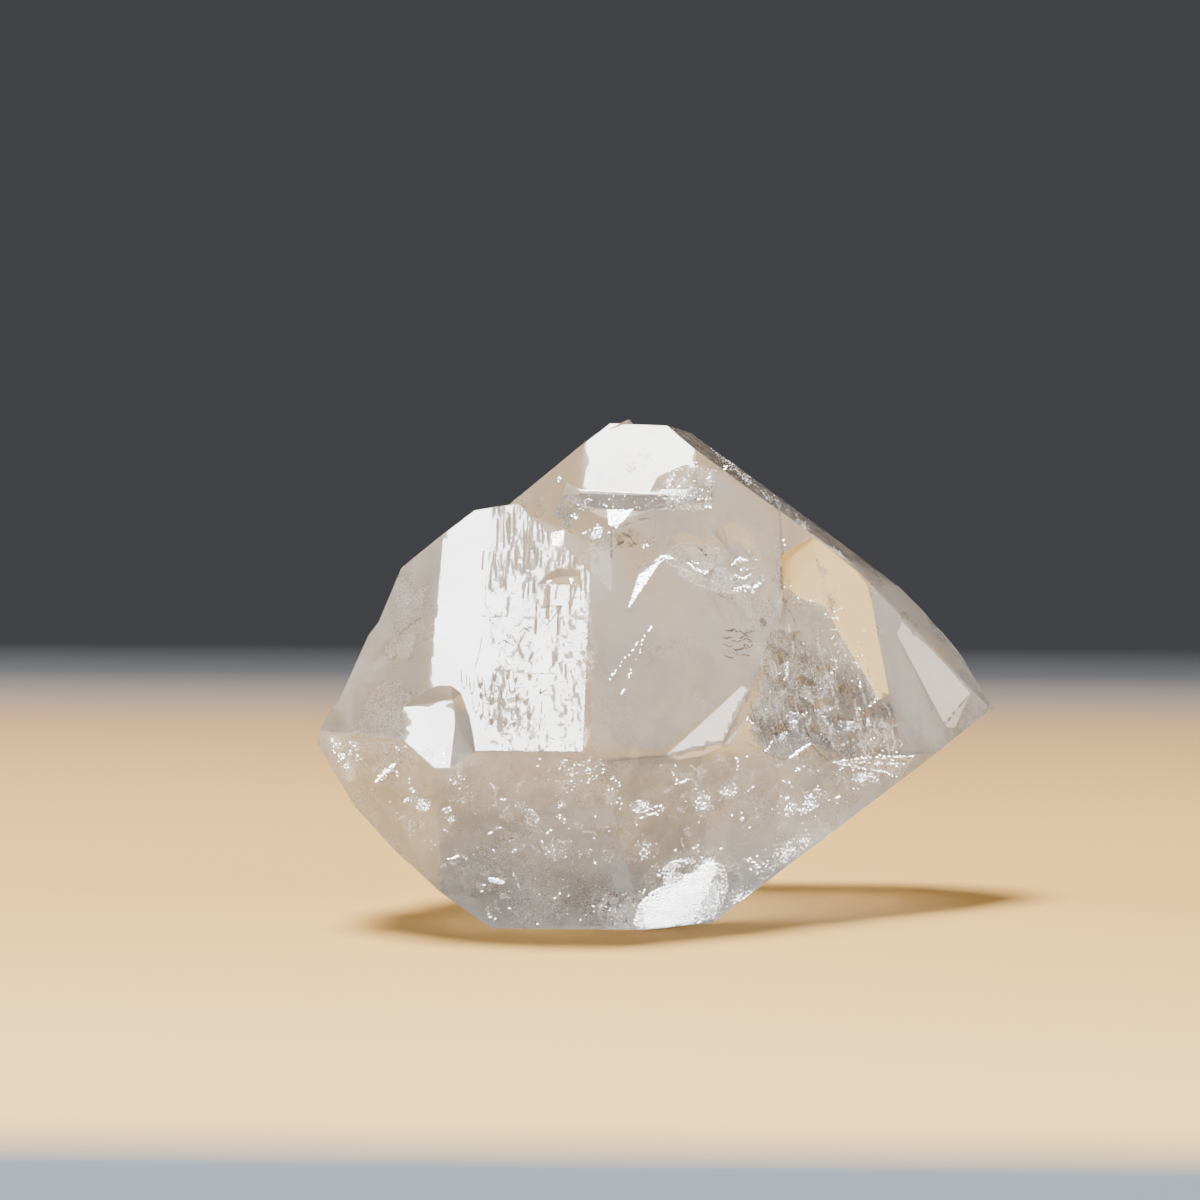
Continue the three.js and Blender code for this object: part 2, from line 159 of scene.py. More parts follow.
def softbox(name, direction, distance, size, radiance, color=(1, 1, 1)):
    data = bpy.data.lights.new(name, "AREA")
    data.shape = "RECTANGLE"
    data.size, data.size_y = size
    data.color = color
    data.energy = radiance * math.pi * size[0] * size[1]
    lamp = bpy.data.objects.new(name, data)
    lamp.location = LAMP_AIM + Vector(direction).normalized() * distance
    lamp.rotation_euler = (LAMP_AIM - lamp.location).to_track_quat("-Z", "Y").to_euler()
    bpy.context.scene.collection.objects.link(lamp)
    return lamp


front_softbox = softbox("front_softbox", FRONT_LIGHT, 0.6, (0.19, 0.13), 62.0, (0.94, 0.97, 1.0))
top_softbox = softbox("top_softbox", TOP_LIGHT, 0.7, (0.28, 0.24), 82.0)
top_softbox.visible_transmission = False  # keeps the crystal's shadow on the floor clear

# ---- floor ----
FLOOR_NEAR, FLOOR_FAR, FLOOR_SIDE = -0.6, 0.13, 0.6
FLOOR_DROP = 0.00001  # keeps the crystal's flat spot and the floor apart
PLAIN_TINT = (0.92, 0.57, 0.165, 1)
# the floor changes colour away from the camera: where each tint starts, where it is full, the tint
TINTS = (
    (-0.045, 0.005, (0.64, 0.355, 0.080, 1)),
    (0.02, 0.075, (0.31, 0.170, 0.055, 1)),
    (0.075, 0.092, (0.125, 0.095, 0.073, 1)),
    (0.092, 0.108, (0.019, 0.020, 0.023, 1)),
)
NEAR_EDGE, NEAR_TINT = (-0.058, -0.050), (0.13, 0.165, 0.20, 1)
FAR_FADE = (0.108, 0.128)
mesh = bpy.data.meshes.new("floor")
near_corners = [(-FLOOR_SIDE, FLOOR_NEAR, 0), (FLOOR_SIDE, FLOOR_NEAR, 0)]
far_corners = [(FLOOR_SIDE, FLOOR_FAR, 0), (-FLOOR_SIDE, FLOOR_FAR, 0)]
mesh.from_pydata(near_corners + far_corners, [], [(0, 1, 2, 3)])
floor = link("floor", mesh)
floor.location.z = -FLOOR_DROP
mat, n = material("floor")
place = n.add("ShaderNodeNewGeometry").outputs["Position"]
far = n.add("ShaderNodeSeparateXYZ", Vector=place).outputs["Y"]
tint = PLAIN_TINT
for start, full, colour in TINTS:
    tint = n.mix(n.spread(far, start, full), tint, colour)
tint = n.mix(n.spread(far, *NEAR_EDGE), NEAR_TINT, tint)
solid = n.add("ShaderNodeBsdfPrincipled", Base_Color=tint, Roughness=0.75)
clear = n.add("ShaderNodeBsdfTransparent")
faded = n.add("ShaderNodeMixShader", i0=n.spread(far, *FAR_FADE), i1=solid, i2=clear)
n.add("ShaderNodeOutputMaterial", Surface=faded)
mesh.materials.append(mat)
# the front softbox is there for the crystal's reflections and leaves the floor to the top one
not_lit = bpy.data.collections.new("not_lit_from_front")
not_lit.objects.link(floor)
not_lit.collection_objects[0].light_linking.link_state = "EXCLUDE"
front_softbox.light_linking.receiver_collection = not_lit

# ---- crystal: bevelled edges, then fine relief on its faces ----
SHIFT = np.array((-0.0323, -5.1990, 0.0))  # from the crystal's own axes to the part's, in mm
EDGE_WEAR = 0.028 * MM
SHARP = math.radians(15)
COPLANAR = math.radians(0.6)
MERGE, TINY_EDGE = 0.002 * MM, 0.005 * MM
WORN_FACE = 0.25 * MM * MM  # smallest area beside a worn edge
WORN_EDGE = 0.5 * MM
KEEN_EDGE = Vector((-1.58, -5.37, 14.38)) * MM  # the upright edge under the top facet stays sharp


def in_order(points, faces):
    """The same mesh, numbered by place, because bmesh numbers it differently from run to run."""
    order = np.lexsort(np.round(points / MM, 4).T)
    rank = np.empty(len(order), int)
    rank[order] = np.arange(len(order))
    faces = rank[faces]
    first = faces.argmin(1)
    faces = np.take_along_axis(faces, (first[:, None] + np.arange(3)) % 3, 1)
    return points[order], faces[np.lexsort(faces.T)]


def bevelled(source):
    """Copy of the CAD mesh whose main edges are worn to narrow faces."""
    bm = bmesh.new()
    bm.from_mesh(source)
    bmesh.ops.remove_doubles(bm, verts=bm.verts, dist=MERGE)
    bmesh.ops.dissolve_degenerate(bm, edges=bm.edges, dist=TINY_EDGE)
    bmesh.ops.dissolve_limit(bm, angle_limit=COPLANAR, verts=bm.verts, edges=bm.edges)
    edges = []
    for e in bm.edges:
        wide = all(f.calc_area() > WORN_FACE for f in e.link_faces)
        middle = (e.verts[0].co + e.verts[1].co) / 2
        keen = (middle - KEEN_EDGE).length < 1.0 * MM
        worn = e.is_manifold and wide and not keen and e.calc_length() > WORN_EDGE
        if worn and abs(e.calc_face_angle(0)) > SHARP:
            edges.append(e)
    bmesh.ops.bevel(
        bm,
        geom=edges,
        offset=EDGE_WEAR,
        offset_type="OFFSET",
        segments=1,
        profile=0.5,
        affect="EDGES",
        clamp_overlap=False,
    )
    bmesh.ops.triangulate(bm, faces=bm.faces)
    bm.verts.index_update()
    points = np.array([v.co for v in bm.verts])
    faces = np.array([[v.index for v in f.verts] for f in bm.faces])
    bm.free()
    return in_order(points, faces)


MOST_ROUNDS = 40


def refined(points, faces, longest):
    """Splits the longest edge of each triangle until it is under longest(middle, normal of the triangle)."""
    for _ in range(MOST_ROUNDS):
        pairs = np.sort(np.stack([faces, np.roll(faces, -1, 1)], 2).reshape(-1, 2), 1)
        edges, at = np.unique(pairs, axis=0, return_inverse=True)
        at = at.reshape(-1, 3)
        a, b = points[edges[:, 0]], points[edges[:, 1]]
        middle = (a + b) / 2
        length = np.linalg.norm(a - b, axis=1)
        normal = np.cross(points[faces[:, 1]] - points[faces[:, 0]], points[faces[:, 2]] - points[faces[:, 0]])
        normal /= np.linalg.norm(normal, axis=1, keepdims=True) + 1e-30
        longest_side = at[np.arange(len(at)), length[at].argmax(1)]
        split = np.zeros(len(edges), bool)
        split[longest_side[length[longest_side] > longest(points[faces].mean(1), normal)]] = True
        if not split.any():
            break
        new = np.full(len(edges), -1)
        new[split] = len(points) + np.arange(split.sum())
        points = np.concatenate([points, middle[split]])
        m = new[at]
        count = (m >= 0).sum(1)
        parts = [faces[count == 0]]
        # turn each triangle so that its one split edge, or its one whole edge, comes first
        one = np.where(count == 1, (m >= 0).argmax(1), np.where(count == 2, (m < 0).argmax(1), 0))
        turn = (one[:, None] + np.arange(3)) % 3
        f, m = np.take_along_axis(faces, turn, 1), np.take_along_axis(m, turn, 1)
        a, b, c = f.T
        p, q, r = m.T
        s = count == 1
        parts += [np.stack([a, p, c], 1)[s], np.stack([p, b, c], 1)[s]]
        s = count == 2
        near = np.linalg.norm(points[a] - points[q], axis=1) < np.linalg.norm(points[b] - points[r], axis=1)
        parts += [np.stack([q, c, r], 1)[s]]
        t = s & near
        parts += [np.stack([a, b, q], 1)[t], np.stack([a, q, r], 1)[t]]
        t = s & ~near
        parts += [np.stack([a, b, r], 1)[t], np.stack([b, q, r], 1)[t]]
        s = count == 3
        parts += [np.stack(three, 1)[s] for three in ((a, p, r), (p, b, q), (r, q, c), (p, q, r))]
        faces = np.concatenate(parts)
    return points, faces


# the big prism face: x runs along the crystal's long axis and t up the face, both in mm
PRISM_NORMAL = np.array((0, -math.sqrt(0.75), 0.5))
UP_SLOPE = np.array((0, 0.5, math.sqrt(0.75)))
PRISM_LEVEL = 7.95
RHOMB_NORMAL = np.array((0.6186, -0.6805, 0.3929))

# rough hollows of the right rhomb face: middle and reach, in mm
SMOKY = np.array((6.7, 4.8, 8.5)), 3.1
FROSTY = np.array((2.8, 3.3, 13.4)), 2.3
# their streaks run down that face
DOWN_STREAK = np.array((0.276, -0.280, -0.920))
ACROSS_STREAK = np.cross(RHOMB_NORMAL, DOWN_STREAK)


def in_zone(q, zone, keep=3.0):
    """1 in the middle of a zone of the right rhomb face, 0 outside it."""
    off = (q - zone[0]) / zone[1]
    return np.clip(1.6 * (1 - (off**2).sum(1)), 0, 1) * (q @ RHOMB_NORMAL > keep)


def own_axes(points):
    return points / MM - SHIFT


def on_prism(q):
    """1 on the top growth layer of the big prism face, else 0."""
    level = q @ PRISM_NORMAL
    return ((level > PRISM_LEVEL - 0.05) & (level < PRISM_LEVEL + 0.12) & (q[:, 0] < -2.3)).astype(float)


# longest edges, in mm
PLAIN_MESH, LOWER_MESH = 0.6, 0.3
SMOKY_MESH, FROSTY_MESH, ETCHED_MESH = 0.12, 0.1, 0.075


def longest_edge(middle, normal):
    """Longest edge, in m, that a triangle may have where it stands."""
    q = own_axes(middle)
    limit = np.full(len(q), PLAIN_MESH)
    limit[(q[:, 2] < 7.2) & (q[:, 1] < 2.0)] = LOWER_MESH
    limit[in_zone(q, SMOKY) > 0] = SMOKY_MESH
    limit[in_zone(q, FROSTY) > 0] = FROSTY_MESH
    limit[(on_prism(q) > 0) & (q[:, 0] > -7.4) & (normal @ PRISM_NORMAL > 0.97)] = ETCHED_MESH
    return limit * MM


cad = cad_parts["herkimer_diamond"]
points, faces = refined(*bevelled(cad.data), longest_edge)


def vertex_normals(points, faces):
    """Normal at each vertex: the sum of the area normals of its faces."""
    normal = np.cross(points[faces[:, 1]] - points[faces[:, 0]], points[faces[:, 2]] - points[faces[:, 0]])
    total = np.zeros_like(points)
    for k in range(3):
        np.add.at(total, faces[:, k], normal)
    return total / (np.linalg.norm(total, axis=1, keepdims=True) + 1e-30)


def lattice_noise(q):
    """Smooth noise from -1 to 1 at each row of q, the same each run."""
    cell = np.floor(q).astype(np.int64)
    f = q - cell
    f = f * f * (3 - 2 * f)
    total = np.zeros(len(q))
    for corner in np.ndindex(2, 2, 2):
        c = cell + corner
        mixed = (c[:, 0] * 73856093) ^ (c[:, 1] * 19349663) ^ (c[:, 2] * 83492791)
        mixed = (mixed * 2654435761) & 0xFFFFFFFF
        mixed = ((mixed ^ (mixed >> 15)) * 2246822519) & 0xFFFFFFFF
        value = ((mixed >> 8) & 0xFFFF) / 32767.5 - 1
        total += value * np.prod(np.where(corner, f, 1 - f), axis=1)
    return total


def fbm(q, octaves=3):
    """Layers of noise, each finer and weaker, about -1 to 1."""
    return sum(lattice_noise(q * 2.03**k + 17.3 * k) * 0.5**k for k in range(octaves))


def terraces(value, steps, edge):
    """Turns a smooth value into flat steps with short slopes between them."""
    g = value * steps
    whole = np.floor(g)
    s = np.clip((g - whole - 0.5) / edge + 0.5, 0, 1)
    return (whole + s * s * (3 - 2 * s)) / steps


def bump(value, low, high, soft):
    """1 where low < value < high, falling to 0 over soft on each side."""
    return np.clip((value - low) / soft + 0.5, 0, 1) * np.clip((high - value) / soft + 0.5, 0, 1)


# heights of the relief, in mm
WAVE = 0.004
UPPER_ETCH, MIDDLE_ETCH, LOW_ETCH = 0.042, 0.023, 0.03
PRISM_LEVEL_ROUGH = 0.05
LOWER_FACES = 0.022
# height, fineness and stretch of the streaks in the two rough hollows
HOLLOWS = ((SMOKY, 0.020, 3.2, 0.28), (FROSTY, 0.07, 1.6, 1.0))
# bands of the big prism face: from, to and softness, in mm up the face or along it
UPPER_BAND, LOW_BAND, LOW_SPAN = (10.8, 16.5, 1.6), (4.2, 7.2, 0.5), (-7.4, -4.6, 0.5)
ETCH_LEFT, ETCH_RIGHT = -6.25, -2.3
FLAT_PRISM = 0.985


def relief(points, normals):
    """How far each vertex moves along its normal, in mm."""
    q = own_axes(points)
    x, t, z = q[:, 0], q @ UP_SLOPE, q[:, 2]
    move = np.zeros(len(q))
    # faint waves on every face
    move += WAVE * fbm(q * 0.5, 2)
    # etched growth steps on the big prism face
    flat = on_prism(q) * (normals @ PRISM_NORMAL > FLAT_PRISM)
    s = flat > 0.5
    xs, ts = x[s], t[s]
    face_points = np.stack([xs, ts, np.zeros_like(xs)], 1)
    zone = bump(xs, ETCH_LEFT + 0.25 * fbm(face_points * 0.8, 2), ETCH_RIGHT, 0.3)
    streaks = fbm(face_points * (4.6, 0.75, 1) + (3, 7, 1), 3)
    blobs = fbm(face_points * (2.1, 1.2, 1) + (9, 2, 5), 3)
    drops = fbm(face_points * (2.8, 1.4, 1) + (1, 8, 3), 2)
    upper = bump(ts + 0.7 * fbm(face_points * 0.7 + 8, 2), *UPPER_BAND)
    low = bump(ts, *LOW_BAND) * bump(xs, *LOW_SPAN)
    middle = (1 - upper) * (1 - low)
    step = upper * terraces(streaks, 6, 0.35) * UPPER_ETCH
    step += middle * terraces(blobs, 5, 0.25) * MIDDLE_ETCH
    step += low * terraces(drops, 4, 0.3) * LOW_ETCH
    move[s] += zone * step
    # rough hollows
    for zone, tall, fine, run in HOLLOWS:
        share = in_zone(q, zone)
        s = share > 0
        drawn = np.stack([q[s] @ DOWN_STREAK * run, q[s] @ ACROSS_STREAK, q[s] @ RHOMB_NORMAL], 1) * fine
        rough = tall * fbm(drawn + 3, 4) + tall * 0.3 * terraces(fbm(drawn * 1.3 + 6, 3), 4, 0.3)
        # steps level with the big prism face are the roughest, or they would all flash
        rough += PRISM_LEVEL_ROUGH * fbm(q[s] * 4.2 + 2, 2) * (normals[s] @ PRISM_NORMAL > 0.9)
        move[s] += np.minimum(1, 1.6 * share[s]) * (rough - tall * 0.5)
    # uneven lower faces
    lower = bump(z, 0.4, 7.0, 0.5) * (q[:, 1] < 3) * (normals[:, 2] < -0.2)
    s = lower > 0
    move[s] += lower[s] * LOWER_FACES * fbm(q[s] * 0.8 + 4, 2)
    return move


normals = vertex_normals(points, faces)
points = points + normals * (relief(points, normals) * MM)[:, None]
low_corner, high_corner = (np.array(c) for c in CAD_BOX)
points = np.clip(points, low_corner, high_corner)

CREASE = math.radians(20)
crystal_mesh = bpy.data.meshes.new("quartz_crystal")
crystal_mesh.from_pydata(points.tolist(), [], faces.tolist())
q = own_axes(points)
etched = on_prism(q) * (normals @ PRISM_NORMAL > FLAT_PRISM) * bump(q[:, 0], -6.2, -2.0, 0.35)
crystal_mesh.attributes.new("etched", "FLOAT", "POINT").data.foreach_set("value", etched)
crystal_mesh.validate()
crystal_mesh.shade_smooth()
crystal_mesh.set_sharp_from_angle(angle=CREASE)
crystal = link("quartz_crystal", crystal_mesh)

QUARTZ_IOR = 1.544
# the cooler tone of the lower half is painted refraction of the cool grey surroundings that the lower faces show
CLEAR_UPPER, PAINTED_COOL_LOWER = (1.0, 0.995, 0.98, 1), (0.91, 0.955, 1.0, 1)
BROWN_CLOUD, GREY_CLOUD = (0.62, 0.575, 0.54, 1), (0.53, 0.57, 0.61, 1)
DUSKY_TONE = (0.37, 0.365, 0.385, 1)
# painted shade at the bottom of the crystal
PAINTED_SHADE_BOTTOM = (0.46, 0.51, 0.57, 1)
INSIDE_TONE, INSIDE_DENSITY = (0.95, 0.94, 0.92, 1), 5.0
# heights of the clouded half and of the bottom's painted shade, and reach of the dusky middle, in metres
CLOUDED, DEEP, DUSKY = (0.0085, 0.0068), (0.0046, 0.0016), (0.0034, 0.0016)
mat, n = material("quartz")
coord = n.add("ShaderNodeTexCoord").outputs["Object"]
waves = n.add("ShaderNodeTexNoise", Vector=coord, Scale=900.0, Detail=3.0, Roughness=0.55)
cloud = n.add("ShaderNodeTexNoise", Vector=coord, Scale=350.0, Detail=3.0)
rough = n.spread(cloud, 0.35, 0.7, 0.24, 0.36)
# thin growth lines on the big prism face: steps of a noise drawn out up the face
across = n.math("MULTIPLY", n.add("ShaderNodeSeparateXYZ", Vector=coord).outputs["X"], 2600.0)
up_face = n.vector("DOT_PRODUCT", coord, tuple(UP_SLOPE * 520.0))
drawn = n.add("ShaderNodeCombineXYZ", X=across, Y=up_face)
growth = n.add("ShaderNodeTexNoise", Vector=drawn, Scale=1.0, Detail=3.0, Roughness=0.6)
growth = n.math("MULTIPLY", n.math("FLOOR", n.math("MULTIPLY", growth, 9.0)), 1 / 9)
etch = n.math("MULTIPLY", n.add("ShaderNodeAttribute", {"attribute_name": "etched"}).outputs["Fac"], growth)
fine = n.add("ShaderNodeBump", Strength=0.08, Distance=0.00002, Height=waves)
fine = n.add("ShaderNodeBump", Strength=1.0, Distance=0.00003, Height=etch, Normal=fine)
# smoky and milky clouding, stronger in the lower half, over a painted cool tint in the lower half and painted
# shade at the bottom
height = n.add("ShaderNodeSeparateXYZ", Vector=coord).outputs["Z"]
low = n.spread(height, *CLOUDED, 0.3, 1.0)
broad = n.add("ShaderNodeTexNoise", Vector=coord, Scale=420.0, Detail=5.0, Roughness=0.6, Distortion=1.4)
small = n.add("ShaderNodeTexNoise", Vector=coord, Scale=1500.0, Detail=4.0, Roughness=0.6, Distortion=0.8)
cold = n.add("ShaderNodeTexNoise", Vector=coord, Scale=230.0, Detail=2.0)
smoke = n.mix(n.spread(cold, 0.4, 0.6), BROWN_CLOUD, GREY_CLOUD)
clear_and_painted_cool_tone = n.mix(low, CLEAR_UPPER, PAINTED_COOL_LOWER)
smoky_middle = tuple((SMOKY[0] + SHIFT + (-0.6, 0, -1.3)) * MM)
from_smoky = n.vector("DISTANCE", coord, smoky_middle)
tone = n.mix(n.math("MULTIPLY", n.spread(broad, 0.46, 0.62), low), clear_and_painted_cool_tone, smoke)
tone = n.mix(n.math("MULTIPLY", n.spread(small, 0.52, 0.68, 0.0, 0.7), low), tone, smoke)
dusky = n.math("MULTIPLY", n.spread(from_smoky, *DUSKY), n.spread(small, 0.36, 0.58, 0.35, 1.0))
tone = n.mix(dusky, tone, DUSKY_TONE)
# painted shade: the bottom turns darker and bluer, where the lower faces get little light
deep = n.math("MULTIPLY", n.spread(height, *DEEP), n.spread(broad, 0.36, 0.60, 0.4, 1.0))
tone = n.mix(deep, tone, PAINTED_SHADE_BOTTOM)
quartz = n.add(
    "ShaderNodeBsdfPrincipled",
    Base_Color=tone,
    Roughness=rough,
    IOR=QUARTZ_IOR,
    Transmission_Weight=1.0,
    Coat_Weight=1.0,
    Coat_Roughness=0.02,
    Coat_IOR=QUARTZ_IOR,
    Normal=fine,
)
inside_tint = n.add("ShaderNodeVolumeAbsorption", Color=INSIDE_TONE, Density=INSIDE_DENSITY)
n.add("ShaderNodeOutputMaterial", Surface=quartz, Volume=inside_tint)
crystal_mesh.materials.append(mat)
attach(crystal, "root")
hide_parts("herkimer_diamond")

# ---- inclusions, and flakes and plates of painted light and shade ----
skin = BVHTree.FromPolygons([Vector(p) for p in points], faces.tolist())


def bent(ray, normal):
    """Direction of a ray once it is inside the crystal."""
    k = 1 / QUARTZ_IOR
    c = -normal.dot(ray)
    return (ray * k + normal * (k * c - math.sqrt(max(0.0, 1 - k * k * (1 - c * c))))).normalized()


def under(spots, depths):
    """Points under the faces that the picture shows at spots, and the directions back to the eye.

    A depth under 0 is a height over the face.
    """
    at, back = [], []
    for (x, y), depth in zip(spots, depths):
        ray = sight(x, y)
        hit, normal, _, _ = skin.ray_cast(CAMERA_AT, ray)
        if hit is None:
            continue
        if depth < 0:
            at.append(hit - normal * depth * MM)
            back.append(-ray)
            continue
        inward = bent(ray, normal)
        far, _, _, thick = skin.ray_cast(hit + inward * 1e-5, inward)
        room = depth * MM if far is None else min(depth * MM, thick * 0.6)
        at.append(hit + inward * room)
        back.append(-inward)
    return np.array(at).reshape(-1, 3), np.array(back).reshape(-1, 3)


def unit_rows(v):
    return v / (np.linalg.norm(v, axis=1, keepdims=True) + 1e-30)


FLOOR_GAP = 0.03 * MM  # flakes keep this far above the floor


class Flakes:
    """Many thin flakes, joined in one mesh."""

    def __init__(self, name):
        self.name = name
        self.triangles = []

    def lay(self, at, normal, size, spread=0.4, stretch=1.0, along=None):
        """Lays a flake at each point: size in mm, spread tilts it, stretch lengthens it."""
        count = len(at)
        if not count:
            return
        normal = unit_rows(normal + dice.normal(0, spread, (count, 3)))
        side = dice.normal(0, 1, (count, 3)) if along is None else along + dice.normal(0, 0.15, (count, 3))
        side = unit_rows(side - normal * (side * normal).sum(1, keepdims=True))
        up = np.cross(normal, side)
        reach = dice.uniform(size[0], size[1], count) * MM / 2
        turn = dice.uniform(0, 2 * math.pi, count)
        corners = []
        for k in range(3):
            a = turn + 2.094 * k + dice.uniform(-0.5, 0.5, count)
            r = reach * dice.uniform(0.7, 1.25, count)
            corners.append(at + side * (r * stretch * np.cos(a))[:, None] + up * (r * np.sin(a))[:, None])
        flakes = np.stack(corners, 1)
        self.triangles.append(flakes[flakes[:, :, 2].min(1) > FLOOR_GAP])

    def build(self, mat):
        corners = np.concatenate(self.triangles).reshape(-1, 3)
        mesh = bpy.data.meshes.new(self.name)
        mesh.from_pydata(corners.tolist(), [], np.arange(len(corners)).reshape(-1, 3).tolist())
        mesh.materials.append(mat)
        obj = link(self.name, mesh)
        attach(obj, "root")


def in_ellipse(x, y, rx, ry, count, turn=0.0, middle=0.5):
    """Picture points in an ellipse, thicker towards its middle."""
    a = dice.uniform(0, 2 * math.pi, count)
    r = dice.uniform(0, 1, count) ** middle
    u, v = rx * r * np.cos(a), ry * r * np.sin(a)
    c, s = math.cos(math.radians(turn)), math.sin(math.radians(turn))
    return np.stack([x + u * c + v * s, y - u * s + v * c], 1)


def in_polygon(corners, count):
    """Picture points inside a polygon."""
    p = np.array(corners, float)
    low, high = p.min(0), p.max(0)
    spots = dice.uniform(low, high, (count * 4, 2))
    inside = np.zeros(len(spots), bool)
    for (x0, y0), (x1, y1) in zip(p, np.roll(p, -1, 0)):
        crosses = (y0 > spots[:, 1]) != (y1 > spots[:, 1])
        inside ^= crosses & (spots[:, 0] < (x1 - x0) * (spots[:, 1] - y0) / (y1 - y0 + 1e-9) + x0)
    return spots[inside][:count]


def along_line(corners, width, count):
    """Picture points along a bent line, scattered over its width."""
    p = np.array(corners, float)
    steps = np.linalg.norm(np.diff(p, axis=0), axis=1)
    s = np.concatenate([[0], np.cumsum(steps)])
    at = dice.uniform(0, s[-1], count)
    spots = np.stack([np.interp(at, s, p[:, 0]), np.interp(at, s, p[:, 1])], 1)
    taper = 1 - np.abs(2 * at / s[-1] - 1) ** 3
    return spots + dice.normal(0, width / 2.5, (count, 2)) * taper[:, None]


def patchy(spots, scale, keep, seed=0.0, octaves=3):
    """Keeps the picture points where noise of that scale, in pixels, is high."""
    q = np.stack([spots[:, 0] / scale, spots[:, 1] / scale, np.full(len(spots), seed)], 1)
    return spots[fbm(q, octaves) + dice.normal(0, 0.12, len(spots)) > keep]


# the white, milky and grey flakes are inclusions, and in places painted highlights and painted shade
names = ("white_veils_and_painted_highlights", "side_veils", "milky_dust_and_painted_highlight", "bright_flecks", "smoky_veils_and_painted_shade", "brown_flecks")
white, aside, milk, glint, grey, brown = (Flakes(k) for k in names)

# sizes of flakes, in mm
GRAIN = (0.02, 0.04)
TINY = (0.02, 0.05)
FINE = (0.03, 0.06)
SMALL = (0.03, 0.07)
SPECK = (0.03, 0.08)
VEIL = (0.04, 0.075)
MEDIUM = (0.04, 0.08)
COARSE = (0.04, 0.09)
FACET = (0.05, 0.09)
# depths under the faces, in mm; a depth under 0 lies on the face
ON_FACE = (-0.012, -0.006)
AT_FACE = (-0.02, 0.0)
ROUND_FACE = (-0.02, 0.02)
THIN = (0.02, 0.08)
CRUST = (0.03, 0.1)
IN_SKIN = (0.10, 0.35)
SHALLOW = (0.03, 0.3)
HALF = (0.05, 0.5)
FLASH_DEPTH = -0.014
WISP_DEPTH = -0.004
PLATE_DEPTH = -0.003


def cloud(flakes, spots, depth=HALF, size=FINE, spread=0.6):
    """Flakes of any tilt at the picture points."""
    at, back = under(spots, dice.uniform(depth[0], depth[1], len(spots)))
    flakes.lay(at, back, size, spread)


def flashes(spots, size=(0.05, 0.1), spread=0.05, stretch=1.0):
    """Tiny growth steps on the surface, level with the big prism face, so that they flash with it; at the bright
    patch they paint a highlight.
    """
    at, back = under(spots, np.full(len(spots), FLASH_DEPTH))
    glint.lay(at, np.tile(PRISM_NORMAL, (len(at), 1)), size, spread, stretch)


def dust(spots, scale, keep, seed, soft=0.3, flakes=milk, size=(0.028, 0.055), depth=ON_FACE):
    """Fine dusting, as dense as soft noise of that scale, in pixels, asks."""
    q = np.stack([spots[:, 0] / scale, spots[:, 1] / scale, np.full(len(spots), seed)], 1)
    spots = spots[fbm(q, 4) + dice.normal(0, soft, len(spots)) > keep]
    at, back = under(spots, dice.uniform(*depth, len(spots)))
    flakes.lay(at, back, size, 0.3)


def veil(spots, scale, keep, seed, soft=0.3):
    """Milky dusting just inside the skin."""
    dust(spots, scale, keep, seed, soft, size=VEIL, depth=IN_SKIN)


def feathers(spots, length, width, count):
    """Short curved wisps at the picture points, on the surface; some of them flash."""
    for x, y in spots:
        turn, bow = dice.uniform(0, math.pi), dice.normal(0, 0.25)
        reach = dice.uniform(*length) / 2
        c, s = math.cos(turn) * reach, math.sin(turn) * reach
        bend = [(x - c, y - s), (x - s * bow, y + c * bow), (x + c, y + s)]
        line = along_line(bend, dice.uniform(*width), count)
        at, _ = under(line, np.full(len(line), WISP_DEPTH))
        milk.lay(at, np.tile(PRISM_NORMAL, (len(at), 1)), FINE, 0.5)
        if dice.uniform() < 0.25:
            flashes(line[:: max(1, count // 6)])


# ---- inclusions, and painted light and shade, that the picture shows: outlines, lines and spots in its pixels ----
LOWER = [
    (330, 742), (402, 742), (477, 755), (600, 762), (680, 764),
    (765, 748), (792, 762), (905, 758), (720, 925), (500, 925),
]
WHOLE = [
    (320, 735), (348, 640), (400, 560), (410, 540), (480, 505), (500, 500), (585, 440), (630, 422),
    (690, 424), (700, 438), (790, 520), (880, 575), (960, 640), (988, 705), (905, 758), (720, 925), (500, 925),
]
LOW_MIDDLE = [(452, 766), (640, 772), (650, 850), (560, 872), (470, 850)]
LOW_LEFT = [(322, 745), (440, 758), (442, 880), (400, 850), (345, 790)]
LOW_RIGHT = [(640, 765), (780, 765), (860, 800), (770, 880), (700, 925), (640, 925)]
BOTTOM = [(440, 850), (640, 850), (650, 926), (500, 926)]
DIM_BOTTOM = [(455, 885), (600, 870), (650, 885), (600, 925), (500, 926)]
MIDDLE = [
    (590, 545), (640, 500), (712, 470), (780, 520), (790, 560),
    (785, 610), (760, 660), (735, 690), (665, 750), (592, 750),
]
MIDDLE_LEFT = [(592, 560), (640, 600), (690, 640), (680, 740), (592, 748)]
LEFT_FACE = [(320, 735), (348, 640), (400, 560), (412, 540), (440, 520), (400, 700), (400, 738)]
LEFT = LEFT_FACE[:-2] + [(402, 700), (402, 738)]
TIP_FACES = [(905, 603), (945, 637), (975, 672), (988, 700), (950, 735), (905, 752)]
RIGHT_FACE = [(878, 588)] + TIP_FACES + [(890, 700), (880, 640)]
RIGHT_END = [(870, 583)] + TIP_FACES + [(893, 700), (880, 640)]
FROST_HALO = (712, 565, 56, 28)  # middle x, y and half sizes, as in each ellipse below

cloud(white, patchy(in_polygon(LOWER, 45000), 34, -0.15, 3.0), (0.05, 1.2), (0.04, 0.085))
